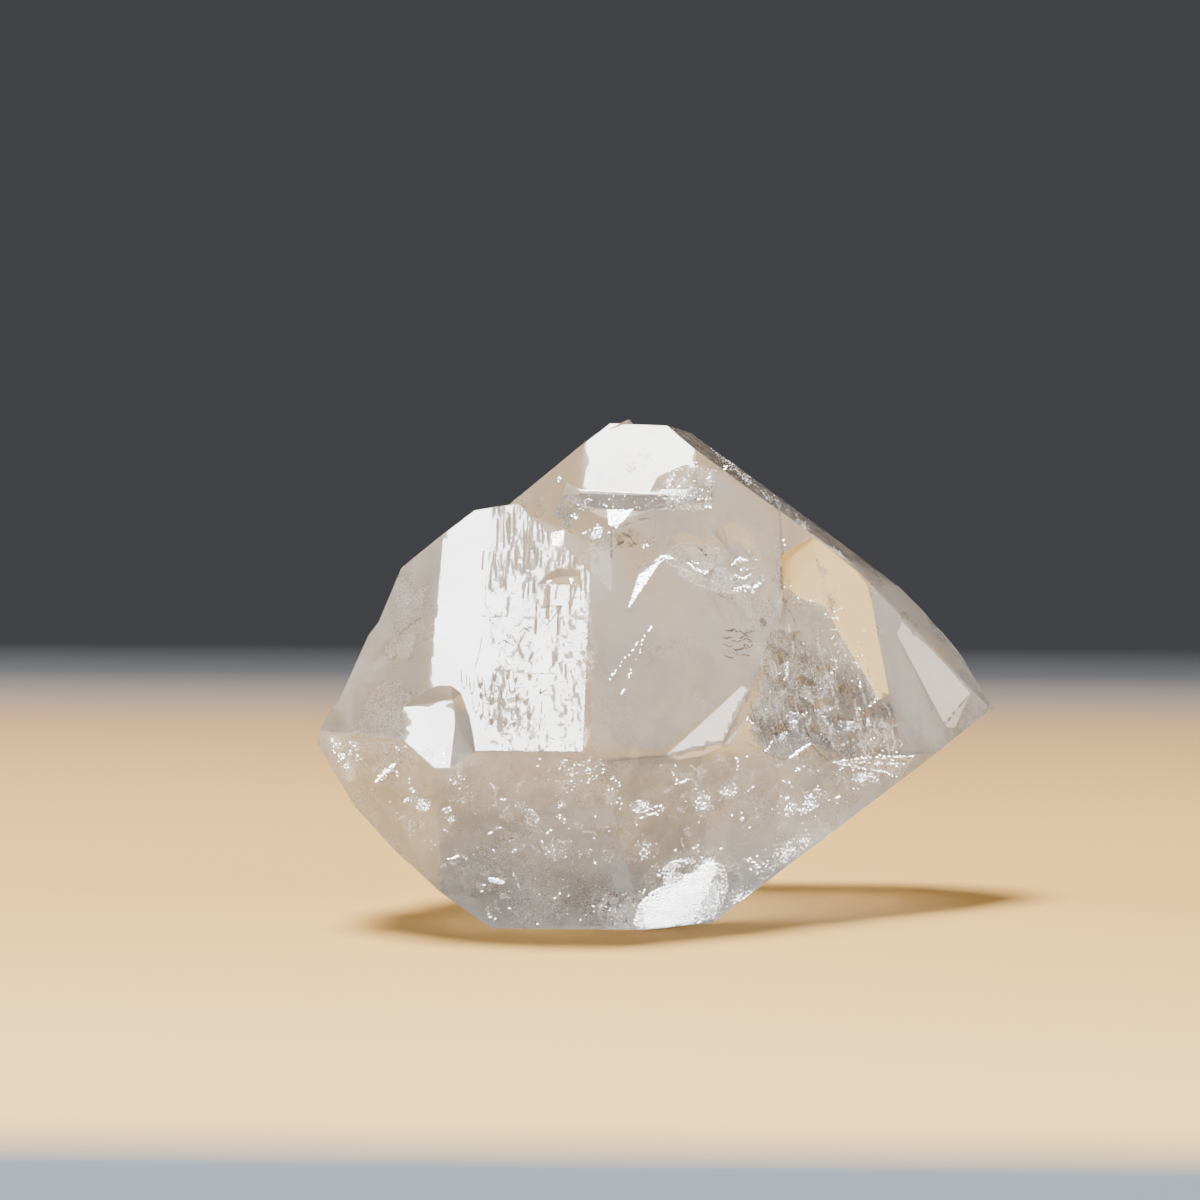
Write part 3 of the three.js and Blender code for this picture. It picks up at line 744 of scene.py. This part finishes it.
# outline, tries, noise scale, threshold, seed, softness
for outline, count, scale, keep, seed, soft in (
    (LOWER, 60000, 26, 0.12, 12.0, 0.18),
    (LOWER, 22000, 9, 0.45, 13.0, 0.3),
    (LOW_MIDDLE, 22000, 22, 0.05, 50.0, 0.25),
    (LOW_LEFT, 12000, 20, 0.1, 51.0, 0.25),
    (LOW_RIGHT, 20000, 30, 0.0, 14.0, 0.3),
):
    veil(in_polygon(outline, count), scale, keep, seed, soft)
dust(in_polygon(BOTTOM, 15000), 16, 0.15, 15.0, 0.3, grey)
dust(in_polygon(LOWER, 30000), 20, 0.38, 16.0, 0.15, grey)
veil(in_polygon(MIDDLE, 80000), 40, 0.2, 17.0)
veil(in_polygon(MIDDLE, 14000), 10, 0.5, 18.0)
veil(in_polygon(MIDDLE_LEFT, 20000), 30, -0.1, 52.0, 0.25)
veil(in_ellipse(*FROST_HALO, 12000, -14, 0.6), 14, -0.1, 19.0)
veil(in_polygon(LEFT_FACE, 16000), 24, 0.2, 20.0)
veil(in_polygon(RIGHT_FACE, 22000), 26, 0.0, 21.0)
cloud(white, patchy(in_polygon(LOWER, 30000), 11, 0.2, 5.0), HALF, SMALL)
cloud(grey, patchy(in_polygon(LOWER, 26000), 34, 0.08, 8.0), (0.05, 0.8), SMALL)
# painted shade: grey flakes that darken the dim bottom of the crystal
cloud(grey, patchy(in_polygon(DIM_BOTTOM, 6000), 18, -0.2, 1.0), HALF, SMALL)
flashes(patchy(in_polygon(LOWER, 300), 26, 0.0, 9.0), SPECK, 0.08, 1.6)
feathers(patchy(in_polygon(LOWER, 300), 22, -0.1, 4.0), (5, 18), (1.5, 5), 60)
cloud(brown, patchy(in_polygon(LOWER, 1500), 12, 0.25, 6.0), (-0.01, -0.003), FINE, 1.0)
flashes(patchy(in_polygon(LOWER, 1600), 14, 0.28, 2.0), TINY, 0.15)
cloud(white, patchy(in_polygon(WHOLE, 36000), 60, -0.1, 2.0), (0.1, 1.2), (0.035, 0.07))
# outline, tries, noise scale, threshold, seed
for outline, count, scale, keep, seed in (
    (MIDDLE, 30000, 36, -0.25, 40.0),
    (LOWER, 40000, 24, -0.05, 41.0),
    (LEFT, 9000, 30, -0.2, 42.0),
    (RIGHT_END, 8000, 30, -0.2, 43.0),
):
    cloud(white, patchy(in_polygon(outline, count), scale, keep, seed), (0.04, 0.4), MEDIUM)

# bright streaks, patches and flecks of the lower half
LEFT_STREAK = [(331, 737), (338, 745), (341, 757), (349, 768), (351, 780)]
LEFT_DASH = [(376, 782), (385, 773), (396, 763)]
LOW_DASH = (496, 880.5, 9, 3)
LOW_DASH_CORE = (496, 880.5, 8, 2.4)
LEFT_FLECKS = (
    (397.6, 773), (410, 780.6), (412.5, 790), (406, 800), (444, 809),
    (450, 820), (446, 830), (492, 785), (503, 799), (549, 831),
)
FLECK_REACH = 2.6
# middle x, y, half sizes, turn in degrees, tries
CLOUDLETS = (
    (420, 803, 12, 6, -20, 500), (458, 782, 8, 8, 0, 260), (463, 798, 12, 5, 10, 300),
    (527, 811, 12, 5, -35, 600), (533, 820, 7, 7, 0, 350), (700, 795, 10, 9, 0, 420),
    (706, 806, 12, 8, 30, 420), (727, 790, 9, 10, 0, 480), (804, 804, 22, 9, 25, 1300),
    (865, 778, 12, 6, 0, 700), (640, 806, 9, 7, 0, 500), (585, 772, 22, 10, 15, 500),
    (612, 797, 10, 8, 0, 240), (690, 905, 30, 26, 40, 5200), (712, 872, 12, 14, 60, 1700),
    (668, 918, 26, 10, 0, 2400), (560, 850, 14, 9, 0, 300), (646, 850, 12, 10, 0, 240),
    (790, 850, 30, 8, 35, 900), (735, 900, 20, 8, 40, 700),
)
BRIGHT_PATCH = (
    (668, 909, 34, 23, 25, 5600), (688, 893, 27, 15, 42, 3000),
    (704, 875, 16, 9, 55, 1100), (652, 921, 18, 8, 0, 1200),
)
PATCH_RIM = (684, 896, 48, 36)
PATCH_HALO = (686, 896, 62, 44)
SUGARY = [(598, 905), (606, 892), (640, 890), (646, 929), (600, 929)]
GREY_THREAD = [(690, 790), (684, 815), (681, 840), (672, 870)]
LOW_DASHES = (
    [(675, 784), (690, 779)], [(644, 811), (655, 806), (662, 805)],
    [(640, 818), (654, 813)], [(447, 859), (460, 855)],
)
dust(along_line(LEFT_STREAK, 14, 2600), 8, -0.2, 47.0)
flashes(along_line(LEFT_STREAK[:-1], 7, 40))
cloud(white, along_line(LEFT_DASH, 6, 900), (0.03, 0.15))
flashes(along_line(LEFT_DASH, 4, 120))
cloud(white, in_ellipse(*LOW_DASH, 500, -12), CRUST)
flashes(in_ellipse(*LOW_DASH_CORE, 120, -12))
for x, y in LEFT_FLECKS:
    turn = dice.uniform(0, math.pi)
    dx, dy = FLECK_REACH * math.cos(turn), FLECK_REACH * math.sin(turn)
    flashes(along_line([(x - dx, y - dy), (x + dx, y + dy)], 1.6, 16), SPECK, 0.07)
for x, y, rx, ry, turn, count in CLOUDLETS:
    cloud(white, in_ellipse(x, y, rx, ry, count, turn, 0.8), SHALLOW)
    flashes(patchy(in_ellipse(x, y, rx, ry, count // 6, turn, 0.8), 7, 0.0, 1.0), COARSE, 0.07)
    flashes(in_ellipse(x, y, rx * 1.2, ry * 1.2, count, turn, 0.9), GRAIN, 0.35)
# painted highlight: mirror flecks and a halo of white dust where the softbox shines through the bottom faces
for x, y, rx, ry, turn, count in BRIGHT_PATCH:
    flashes(in_ellipse(x, y, rx, ry, count, turn, 1.25), (0.045, 0.1), 0.03)
flashes(patchy(in_ellipse(*PATCH_RIM, 6500, 35, 0.8), 10, 0.0, 1.0), SPECK, 0.09)
dust(in_ellipse(*PATCH_HALO, 9000, 35, 0.8), 12, -0.1, 23.0)
sugar = patchy(in_polygon(SUGARY, 2600), 6, 0.0, 2.0, 2)
cloud(milk, sugar, (-0.01, -0.002), (0.05, 0.11), 1.0)
flashes(sugar[::4], COARSE, 0.2)
cloud(brown, patchy(in_polygon(SUGARY, 900), 5, 0.1, 4.0, 2), (-0.015, -0.01), MEDIUM)
cloud(grey, along_line(GREY_THREAD, 1.5, 260), CRUST)
for line in LOW_DASHES:
    cloud(white, along_line(line, 2.5, 260), THIN)
    flashes(along_line(line, 2, 14))

# rough smoky zone of the right part
SMOKY_OUTLINE = [
    (765, 640), (778, 625), (800, 640), (840, 655), (872, 690), (892, 715),
    (903, 752), (845, 757), (812, 742), (793, 757), (752, 742), (748, 715),
]
DARK_LENS = [(753, 741), (765, 705), (790, 720), (832, 735), (850, 752), (812, 742), (793, 757), (775, 757)]
LENS_RIM = [(745, 742), (775, 757), (783, 760), (790, 757)]
LENS_GLINT = [(789, 758), (800, 750), (810, 744)]
NOTCH_RIM = [(810, 744), (820, 754), (829.5, 762)]
GREY_SPOT = (887.6, 711, 9, 8)
BROWN_SPOT = (839.5, 688, 2.5, 4)
# line, tries
RIDGE_GLINTS = (
    ([(833, 762), (870, 757), (914, 756)], 90),
    ([(836, 763), (862, 768), (884, 772), (900, 778)], 60),
    ([(850, 762), (880, 763), (905, 764)], 40),
)
SPLINTER = [(833, 762), (870, 757), (914, 756), (902, 776), (884, 772), (862, 768)]
SPLINTER_DIRT = [(850, 766), (914, 757), (902, 778), (884, 774)]
LENS_LEFT = [(752, 742), (766, 706), (780, 716), (778, 757), (765, 748)]
LENS_RIGHT = [(778, 752), (784, 735), (797, 728), (812, 744), (796, 752), (790, 757)]
cloud(grey, patchy(in_polygon(SMOKY_OUTLINE, 9000), 18, -0.05, 1.0), (0.05, 0.7), COARSE, 0.6)
cloud(white, patchy(in_polygon(SMOKY_OUTLINE, 4000), 10, 0.15, 6.0), (0.03, 0.5), COARSE, 0.8)
cloud(brown, patchy(in_polygon(SMOKY_OUTLINE, 2600), 9, 0.3, 7.0), ROUND_FACE, COARSE, 0.8)
cloud(grey, patchy(in_polygon(SMOKY_OUTLINE, 9000), 12, 0.05, 3.0), ROUND_FACE, SPECK, 0.8)
cloud(grey, in_polygon(DARK_LENS, 2600), (-0.01, 0.03), SPECK, 0.8)
cloud(brown, along_line(LENS_RIM, 1.5, 160), AT_FACE)
flashes(along_line(LENS_GLINT, 1.6, 90), MEDIUM, 0.05)
cloud(brown, along_line(NOTCH_RIM, 1.8, 160), AT_FACE)
flashes(patchy(in_polygon(SMOKY_OUTLINE, 90), 20, -0.1, 9.0), SMALL, 0.1)
feathers(patchy(in_polygon(SMOKY_OUTLINE, 60), 20, -0.1, 2.0), (8, 20), (1.5, 3), 50)
cloud(grey, in_ellipse(*GREY_SPOT, 500, 0, 0.9), (0.05, 0.4), MEDIUM)
cloud(brown, in_ellipse(*BROWN_SPOT, 60), CRUST)
for line, count in RIDGE_GLINTS:
    flashes(along_line(line, 1.8, count), MEDIUM, 0.06)
cloud(white, in_polygon(SPLINTER, 1600), (-0.01, 0.02), MEDIUM, 0.3)
cloud(brown, patchy(in_polygon(SPLINTER_DIRT, 500), 5, 0.2, 3.0), AT_FACE, SMALL, 0.8)
for x, y in in_polygon(SMOKY_OUTLINE, 150):
    reach, bow = dice.uniform(5, 16), dice.normal(0, 1.5)
    bend = [(x - 0.13 * reach, y - reach), (x + bow, y), (x + 0.35 * reach, y + reach)]
    streak = along_line(bend, dice.uniform(1.0, 2.6), 90)
    dust(streak, 9, -0.3, x, 0.3, (brown, grey, grey, milk, milk)[dice.integers(5)])
dust(in_polygon(SMOKY_OUTLINE, 12000), 14, 0.1, 53.0, 0.3, grey)
dust(in_polygon(SMOKY_OUTLINE, 9000), 11, 0.2, 54.0)
dust(in_polygon(LENS_LEFT, 1500), 9, -0.2, 37.0, 0.3, grey)
dust(in_polygon(LENS_RIGHT, 1500), 9, -0.3, 38.0, 0.3, grey)

# frosty cloud over the middle face, and bright crescents along its edge
FROST = (712, 568, 52, 24)
FROST_CORE = (712, 568, 50, 22)
FROST_SPOTS = (
    (665, 560, 4, 3), (693, 562, 5, 3), (704, 571, 4, 3),
    (742, 565, 8, 8), (740, 590, 8, 3), (757, 585, 4, 3),
)
CRESCENTS = (
    [(655, 561), (664, 556), (676, 560)],
    [(688, 563), (697, 570), (708, 572)],
    [(733, 591), (742, 586), (753, 588), (760, 581)],
    [(731, 566), (738, 559), (748, 560)],
    [(735, 575), (743, 579), (751, 574)],
)
CRACKS = (
    [(621, 695), (627, 682), (633, 666)],
    [(633, 666), (641, 645), (651, 626.5)],
    [(608, 682), (616, 670)],
    [(616, 670), (639, 640)],
)
MILKY_MIDDLE = [(590, 610), (640, 600), (700, 615), (720, 660), (660, 750), (600, 745)]
SLIVER = [(640, 567), (661, 560.5), (628, 609)]
STEP_GLINT = [(607.5, 510.5), (633, 510), (616, 528), (609, 525)]
LITTLE_GLINT = [(551, 532), (564, 531), (563, 545), (553, 546)]
ROUGH_GLINT = [(583, 533), (597, 523.5), (611, 533), (597, 543.5)]
cloud(white, in_ellipse(*FROST, 5200, -18, 0.75), (0.05, 0.7))
for x, y, rx, ry in FROST_SPOTS:
    cloud(white, in_ellipse(x, y, rx, ry, 260), (0.02, 0.15))
    flashes(in_ellipse(x, y, rx, ry, 5))
cloud(white, patchy(in_ellipse(*FROST_CORE, 7000, -18, 0.7), 12, -0.1, 6.0), ROUND_FACE, SMALL, 0.5)
for line in CRESCENTS:
    flashes(along_line(line, 2.2, 70), SMALL, 0.08)
for line in CRACKS:
    cloud(white, along_line(line, 3.0, 420), (0.02, 0.12))
    flashes(along_line(line, 2, 10))
cloud(white, patchy(in_polygon(MILKY_MIDDLE, 9000), 30, 0.15, 5.0), (0.1, 1.0))
for outline, count in ((SLIVER, 700), (STEP_GLINT, 600), (LITTLE_GLINT, 250)):
    flashes(in_polygon(outline, count), FACET, 0.09)
flashes(patchy(in_polygon(ROUGH_GLINT, 500), 5, -0.1, 1.0), MEDIUM, 0.2)


class Plate:
    """A thin sheet of another tone that lies on the faces the picture shows, painting how those faces take the
    light.
    """

    def __init__(self, name, outline, step=5.0):
        count = len(outline)
        p = np.array(outline, float)
        grid = np.meshgrid(*(np.arange(a, b, step) for a, b in zip(p.min(0), p.max(0))))
        grid = np.stack(grid, 2).reshape(-1, 2)
        inner = [tuple(q) for q in grid + dice.uniform(-1, 1, grid.shape)]
        rim = [(k, (k + 1) % count) for k in range(count)]
        corners = [Vector(q) for q in list(outline) + inner]
        spots, _, triangles, *_ = delaunay_2d_cdt(corners, rim, [], 1, 0.01)
        seen = np.array([skin.ray_cast(CAMERA_AT, sight(*q))[0] is not None for q in spots])
        at, _ = under([q for q, hit in zip(spots, seen) if hit], np.full(seen.sum(), PLATE_DEPTH))
        number = np.cumsum(seen) - 1
        self.name = name
        self.verts = at.tolist()
        self.faces = [[int(number[k]) for k in f] for f in triangles if seen[list(f)].all()]

    def build(self, mat):
        mesh = bpy.data.meshes.new(self.name)
        mesh.from_pydata(self.verts, [], self.faces)
        mesh.materials.append(mat)
        obj = link(self.name, mesh)
        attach(obj, "root")


PALE_OUTLINE = [
    (742, 686), (764, 695), (747, 716.5), (730, 743),
    (719.6, 748), (701, 756), (678, 760), (667, 755),
]
BLADE_OUTLINE = [(897, 634), (945.5, 727), (955, 728), (970, 693), (942, 661), (917, 632), (903, 616)]
WEDGE_OUTLINE = [
    (781, 556), (810, 537), (822, 543), (868, 581), (877, 631), (889, 694),
    (879, 700), (856, 661), (837, 630), (825, 606), (800, 598), (783, 584),
]
DULL_OUTLINE = [(650, 491.5), (657, 477), (672, 470), (685, 464.5), (697, 463), (696.5, 492)]
NECK_OUTLINE = [(579, 493), (620, 495), (668, 495.5), (664, 508), (640, 511.5), (608, 509.5), (576, 506)]
# plates of painted light: the tan wedge is painted refraction of the tan floor, the dark neck is painted
# reflection of the dark backdrop, and the pale, grey and dull facets paint how bright those faces look under the
# lamps
pale = Plate("pale_facets_painted_light", PALE_OUTLINE)
blade = Plate("grey_facets_painted_light", BLADE_OUTLINE)
wedge = Plate("tan_facets_painted_refraction", WEDGE_OUTLINE)
dull = Plate("dull_facets_painted_light", DULL_OUTLINE)
neck = Plate("neck_facets_painted_reflection", NECK_OUTLINE)

# speckled edges of the tan facet, and the streaks across it
WEDGE_EDGE = [(783, 586), (800, 599), (825, 606), (837, 630), (856, 661), (879, 700)]
WEDGE_STREAK = [(816, 559), (827, 578), (831, 600), (835, 626)]
BLADE_STAIN = [(900, 609), (908, 618), (917, 626)]
RIGHT_RIDGE = [(781, 553), (781, 575), (782, 596), (795, 622)]
dust(along_line(WEDGE_EDGE, 12, 1600), 6, 0.1, 24.0)
flashes(patchy(along_line(WEDGE_EDGE, 20, 300), 7, 0.2, 25.0), SMALL, 0.1)
dust(along_line(WEDGE_STREAK, 8, 1500), 10, 0.1, 26.0, 0.5, grey)
dust(along_line(BLADE_STAIN, 6, 500), 8, -0.1, 27.0, 0.3, brown)
dust(along_line(RIGHT_RIDGE, 2.5, 700), 6, -0.1, 28.0, 0.3, brown)

# the rough lower right corner of the top facet
CORNER_GLINTS = [(655, 480), (672, 470), (697, 462), (716, 470), (712, 500), (655, 500)]
ROUGH_CORNER = [(650, 491), (657, 477), (672, 470), (697, 463), (712, 470), (712, 510), (650, 510)]
CORNER_STAIN = [(686, 488), (712, 486), (712, 503), (690, 503)]
LEFT_OF_NECK = [(563, 495), (582, 495), (576, 528), (563, 530), (552, 515)]
flashes(patchy(in_polygon(CORNER_GLINTS, 700), 5, 0.15, 29.0), SMALL, 0.15)
dust(in_polygon(ROUGH_CORNER, 3500), 7, 0.2, 30.0)
dust(in_polygon(CORNER_STAIN, 900), 6, 0.1, 31.0, 0.3, brown)
dust(in_polygon(LEFT_OF_NECK, 2600), 9, -0.1, 32.0, 0.3, grey)

# crevices and specks under the small white facet
SPECKLED = (626, 538, 14, 10)
CREVICES = (
    [(615, 529), (634, 521), (663, 515)],
    [(611.5, 528), (611.5, 562)],
    [(622, 533), (630, 537), (636, 546)],
    [(617, 545), (624, 541)],
    [(700, 549), (707, 556)],
)
for line in CREVICES:
    dust(along_line(line, 1.8, 260), 4, -0.4, 33.0, 0.3, brown)
dust(in_ellipse(*SPECKLED, 900), 5, 0.1, 34.0, 0.3, brown)

# etched squiggles on the middle face, in rows of four
SQUIGGLES = 15
SQUIGGLE_AT = (724, 631)
SQUIGGLE_DOT = (763, 622, 3, 5)
for k in range(SQUIGGLES):
    x = SQUIGGLE_AT[0] + 7 * (k % 4) + dice.uniform(-2, 2)
    y = SQUIGGLE_AT[1] + 8 * (k // 4) + dice.uniform(-2, 2)
    bend = [(x + 3.2 * j, y + dice.uniform(-2.4, 2.4)) for j in range(4)]
    dust(along_line(bend, 1.1, 110), 4, -0.5, 35.0, 0.3, brown)
dust(in_ellipse(*SQUIGGLE_DOT, 260, 30), 3, -0.4, 36.0, 0.3, brown)

# grey band and bright grains under the top face; the grey of the band is painted reflection of the dark backdrop
BAND = [(576, 494), (700, 494), (697, 509), (578, 511)]
BAND_GLINTS = [(576, 493), (712, 488), (712, 512), (578, 511)]
TOP_FACET = [(588, 440), (680, 440), (685, 488), (585, 488)]
UNDER_BAND = [(575, 494), (700, 494), (698, 508), (575, 510)]
BAND_END = [(640, 490), (705, 480), (710, 515), (640, 515)]
TOP_SMUDGE = (640, 462, 16, 11)
SHOULDER = (570, 512, 12, 9)
END_STAIN = [(686, 500), (697, 502), (715, 492)]
LONE_SPOTS = ((726, 468), (707, 508), (784, 543), (559, 479), (575, 516), (645, 546))
# painted reflection: grey flakes darken the band where it mirrors the dark backdrop
cloud(grey, patchy(in_polygon(BAND, 2600), 9, -0.15, 5.0), (-0.01, 0.0), SMALL)
flashes(patchy(in_polygon(BAND_GLINTS, 420), 6, 0.2, 3.0), SMALL, 0.12)
cloud(grey, patchy(in_ellipse(*TOP_SMUDGE, 700, 30), 5, 0.15, 8.0), (-0.01, -0.005), TINY, 0.3)
cloud(grey, patchy(in_polygon(TOP_FACET, 1200), 7, 0.35, 9.0), (-0.01, -0.005), GRAIN, 0.3)
# painted reflection: more grey flakes just under the band
cloud(grey, in_polygon(UNDER_BAND, 1800), SHALLOW)
cloud(grey, in_ellipse(*SHOULDER, 500, 0, 0.8), HALF)
cloud(white, patchy(in_polygon(BAND_END, 2600), 7, 0.1, 1.0), SHALLOW)
# painted highlights: white flakes under the small diamond and the sliver, faces that mirror the front softbox
cloud(white, in_polygon(ROUGH_GLINT, 900), (0.02, 0.1))
cloud(white, in_polygon(SLIVER, 900), (0.01, 0.05))
cloud(brown, along_line(END_STAIN, 4, 160), CRUST)
for x, y in LONE_SPOTS:
    cloud(white, in_ellipse(x, y, 3.4, 3, 140), THIN)
    flashes(in_ellipse(x, y, 3, 3, 6))

# thin growth lines and drop-shaped hillocks on the big prism face
GROWTH_LINES = (
    [(486, 576), (485, 603), (488, 612), (500, 616), (506, 612)],
    [(481, 616), (492, 617), (507, 616)],
    [(482, 636), (479, 655), (475, 668)],
    [(512, 672), (530, 674), (559, 673)],
    [(542, 702), (541, 716), (539, 731)],
    [(502, 747), (504, 740), (510, 740), (513, 749)],
    [(519, 633), (524, 628), (530, 632)],
    [(540, 609), (550, 606), (563, 606)],
    [(547, 625), (556, 614), (562, 606)],
    [(497, 645), (504, 640), (514, 646)],
    [(541, 688), (540, 694), (546, 690)],
    [(505, 660), (512, 668), (514, 680)],
    [(498, 560), (500, 572), (497, 590)],
    [(528, 553), (534, 547), (535, 553)],
)
HILLOCKS = (
    (464, 684), (472, 690), (480, 684), (488, 694), (496, 688), (504, 696), (512, 690),
    (476, 708), (486, 714), (497, 716), (508, 718), (518, 706), (520, 726),
)
PRISM_EDGE = [(588, 592), (586, 690), (585, 748)]
for line in GROWTH_LINES:
    dust(along_line(line, 0.9, 150), 4, -0.6, 44.0, 0.3, grey)
for x, y in HILLOCKS:
    wide, tall = dice.uniform(2, 4), dice.uniform(8, 14)
    left = [(x - wide, y - tall), (x - wide * 0.7, y + 2)]
    right = [(x + wide * 0.8, y + 1), (x + wide, y - tall * 0.7)]
    dust(along_line([*left, (x, y + 5), *right], 0.9, 150), 4, -0.6, 45.0, 0.3, grey)
dust(along_line(PRISM_EDGE, 11, 3600), 10, 0.0, 46.0)

# dark threads, the pale edge at the upper right, and the marks of the left faces
THREADS = (
    [(623, 610), (636, 614)], [(404, 688), (413, 695)],
    [(612, 532), (612, 570)], [(760, 618), (765, 626)],
)
RIGHT_STRIP = [(704, 440), (750, 482), (800, 524), (850, 562)]
LEFT_SPOT = [(385, 600), (392, 602), (393, 634), (384, 636)]
LEFT_MARKS = ([(374.6, 671), (385, 660), (394, 653)], [(347, 725), (350, 710), (351.7, 697)])
LEFT_STAIN = [(397.6, 636), (410, 625), (421.7, 617)]
for line in THREADS:
    cloud(brown, along_line(line, 0.9, 90), (0.01, 0.04), (0.03, 0.05))
dust(along_line(RIGHT_STRIP, 6, 900), 12, 0.0, 39.0)
cloud(white, patchy(in_polygon(LEFT_SPOT, 800), 8, -0.2, 2.0), (0.03, 0.2))
for line in LEFT_MARKS:
    cloud(white, along_line(line, 4, 500), (0.03, 0.2))
cloud(brown, along_line(LEFT_STAIN, 2, 160), (0.03, 0.2))

# milky right end
MILKY_END = [(862, 578), (900, 590), (960, 640), (988, 705), (955, 728), (905, 752), (890, 700), (880, 640)]
MILKY_BLADE = [(868, 582), (903, 640), (945.5, 727), (955.6, 728), (970.5, 693), (935, 640), (900, 600)]
cloud(white, in_polygon(MILKY_END, 15000), (0.05, 0.6), VEIL)
cloud(white, in_polygon(MILKY_BLADE, 6000), (0.02, 0.2), VEIL)

# ---- the rest of the crystal: veils and flecks just under all of its other faces ----
corner = points[faces]
outward = np.cross(corner[:, 1] - corner[:, 0], corner[:, 2] - corner[:, 0])
area = np.linalg.norm(outward, axis=1)
outward = unit_rows(outward)
cad_skin = BVHTree.FromPolygons([v.co for v in cad.data.vertices], [p.vertices for p in cad.data.polygons])


def in_cad(p):
    near, normal, _, _ = cad_skin.find_nearest(p)
    return (p - near).dot(normal) < 0


def under_skin(count, depth, scale, keep, seed):
    """Points under the faces turned from the camera, where noise of that scale, in mm, is high."""
    pick = dice.choice(len(faces), count, p=area / area.sum())
    u, v = dice.uniform(0, 1, (2, count))
    u, v = np.where(u + v > 1, 1 - u, u), np.where(u + v > 1, 1 - v, v)
    c = corner[pick]
    at = c[:, 0] + (c[:, 1] - c[:, 0]) * u[:, None] + (c[:, 2] - c[:, 0]) * v[:, None]
    at = at - outward[pick] * (dice.uniform(depth[0], depth[1], count) * MM)[:, None]
    high = fbm(at / MM / scale + seed, 3) + dice.normal(0, 0.12, count) > keep
    turned = ((at - np.array(CAMERA_AT)) * outward[pick]).sum(1) > 0
    s = [k for k in np.flatnonzero(high & turned) if in_cad(Vector(at[k]))]
    return at[s], outward[pick][s]


FLASH_RISE = 0.058
# flakes, tries, depths, sizes, noise scale, threshold, seed
OTHER_SIDES = (
    (aside, 110000, (0.1, 1.2), (0.045, 0.085), 1.6, 0.0, 3.0),
    (aside, 50000, (0.05, 0.4), SMALL, 0.5, 0.35, 5.0),
    (grey, 20000, (0.2, 1.0), SMALL, 1.8, 0.2, 8.0),
    (glint, 2400, (0.05, 0.0501), (0.05, 0.12), 1.2, 0.05, 9.0),
    (milk, 90000, IN_SKIN, VEIL, 1.1, 0.12, 6.0),
    (brown, 1500, (0.05, 0.3), SPECK, 0.8, 0.5, 7.0),
)
for flakes, count, depth, size, scale, keep, seed in OTHER_SIDES:
    at, face = under_skin(count, depth, scale, keep, seed)
    spread = {glint: 0.08, milk: 0.3}.get(flakes, 0.6)
    if flakes is glint:
        at = at + face * FLASH_RISE * MM
        face = face + dice.choice((-0.5, 0.0, 0.5), face.shape)
    flakes.lay(at, face, size, spread)


# ---- materials of the flakes and plates ----
def flake_material(name, light, dark, scale, **inputs):
    """Matt flake material whose colour wanders between two tones, for mineral flakes and for flakes of painted
    light and shade.
    """
    mat, n = material(name)
    coord = n.add("ShaderNodeTexCoord").outputs["Object"]
    shade = n.add("ShaderNodeTexNoise", Vector=coord, Scale=scale, Detail=2.0)
    tint = n.mix(n.spread(shade, 0.35, 0.65), (*dark, 1), (*light, 1))
    n.add("ShaderNodeOutputMaterial", Surface=n.add("ShaderNodeBsdfPrincipled", Base_Color=tint, **inputs))
    return mat


def painted_facet_light(name, light, dark):
    """Painted tone of a face as the light shows it, a little see-through."""
    mat, n = material(name)
    coord = n.add("ShaderNodeTexCoord").outputs["Object"]
    shade = n.add("ShaderNodeTexNoise", Vector=coord, Scale=500.0, Detail=4.0)
    tint = n.mix(n.spread(shade, 0.3, 0.7), (*dark, 1), (*light, 1))
    glass = n.add("ShaderNodeBsdfPrincipled", Base_Color=tint, Roughness=0.35, IOR=1.01, Transmission_Weight=0.2)
    n.add("ShaderNodeOutputMaterial", Surface=glass)
    return mat


# materials of the painted-light plates: flat tones that paint refraction, reflection and facet brightness
pale.build(painted_facet_light("pale_facet_painted_light", (0.88, 0.82, 0.80), (0.80, 0.74, 0.71)))
wedge.build(painted_facet_light("tan_facet", (1.0, 0.74, 0.35), (0.93, 0.66, 0.31)))
blade.build(painted_facet_light("grey_facet", (0.74, 0.71, 0.66), (0.64, 0.60, 0.55)))
dull.build(painted_facet_light("dull_facet", (0.43, 0.34, 0.26), (0.34, 0.27, 0.21)))
neck.build(painted_facet_light("neck_facet", (0.18, 0.145, 0.115), (0.11, 0.095, 0.08)))
milk.build(flake_material("dust_white_and_painted_highlight", (0.97, 0.96, 0.95), (0.92, 0.88, 0.85), 700.0, Roughness=0.5))
veil_white_and_painted_highlights = flake_material("veil_white_and_painted_highlights", (0.97, 0.96, 0.94), (0.91, 0.87, 0.82), 700.0, Roughness=0.5)
white.build(veil_white_and_painted_highlights)
aside.build(veil_white_and_painted_highlights)
glint.build(flake_material("veil_bright", (0.98, 0.98, 0.98), (0.92, 0.91, 0.90), 700.0, Roughness=0.25, Metallic=0.8))
grey.build(flake_material("veil_smoky_and_painted_shade", (0.33, 0.34, 0.37), (0.20, 0.185, 0.18), 500.0, Roughness=0.5))
brown.build(flake_material("stain_brown", (0.20, 0.14, 0.09), (0.10, 0.08, 0.07), 600.0, Roughness=0.6))
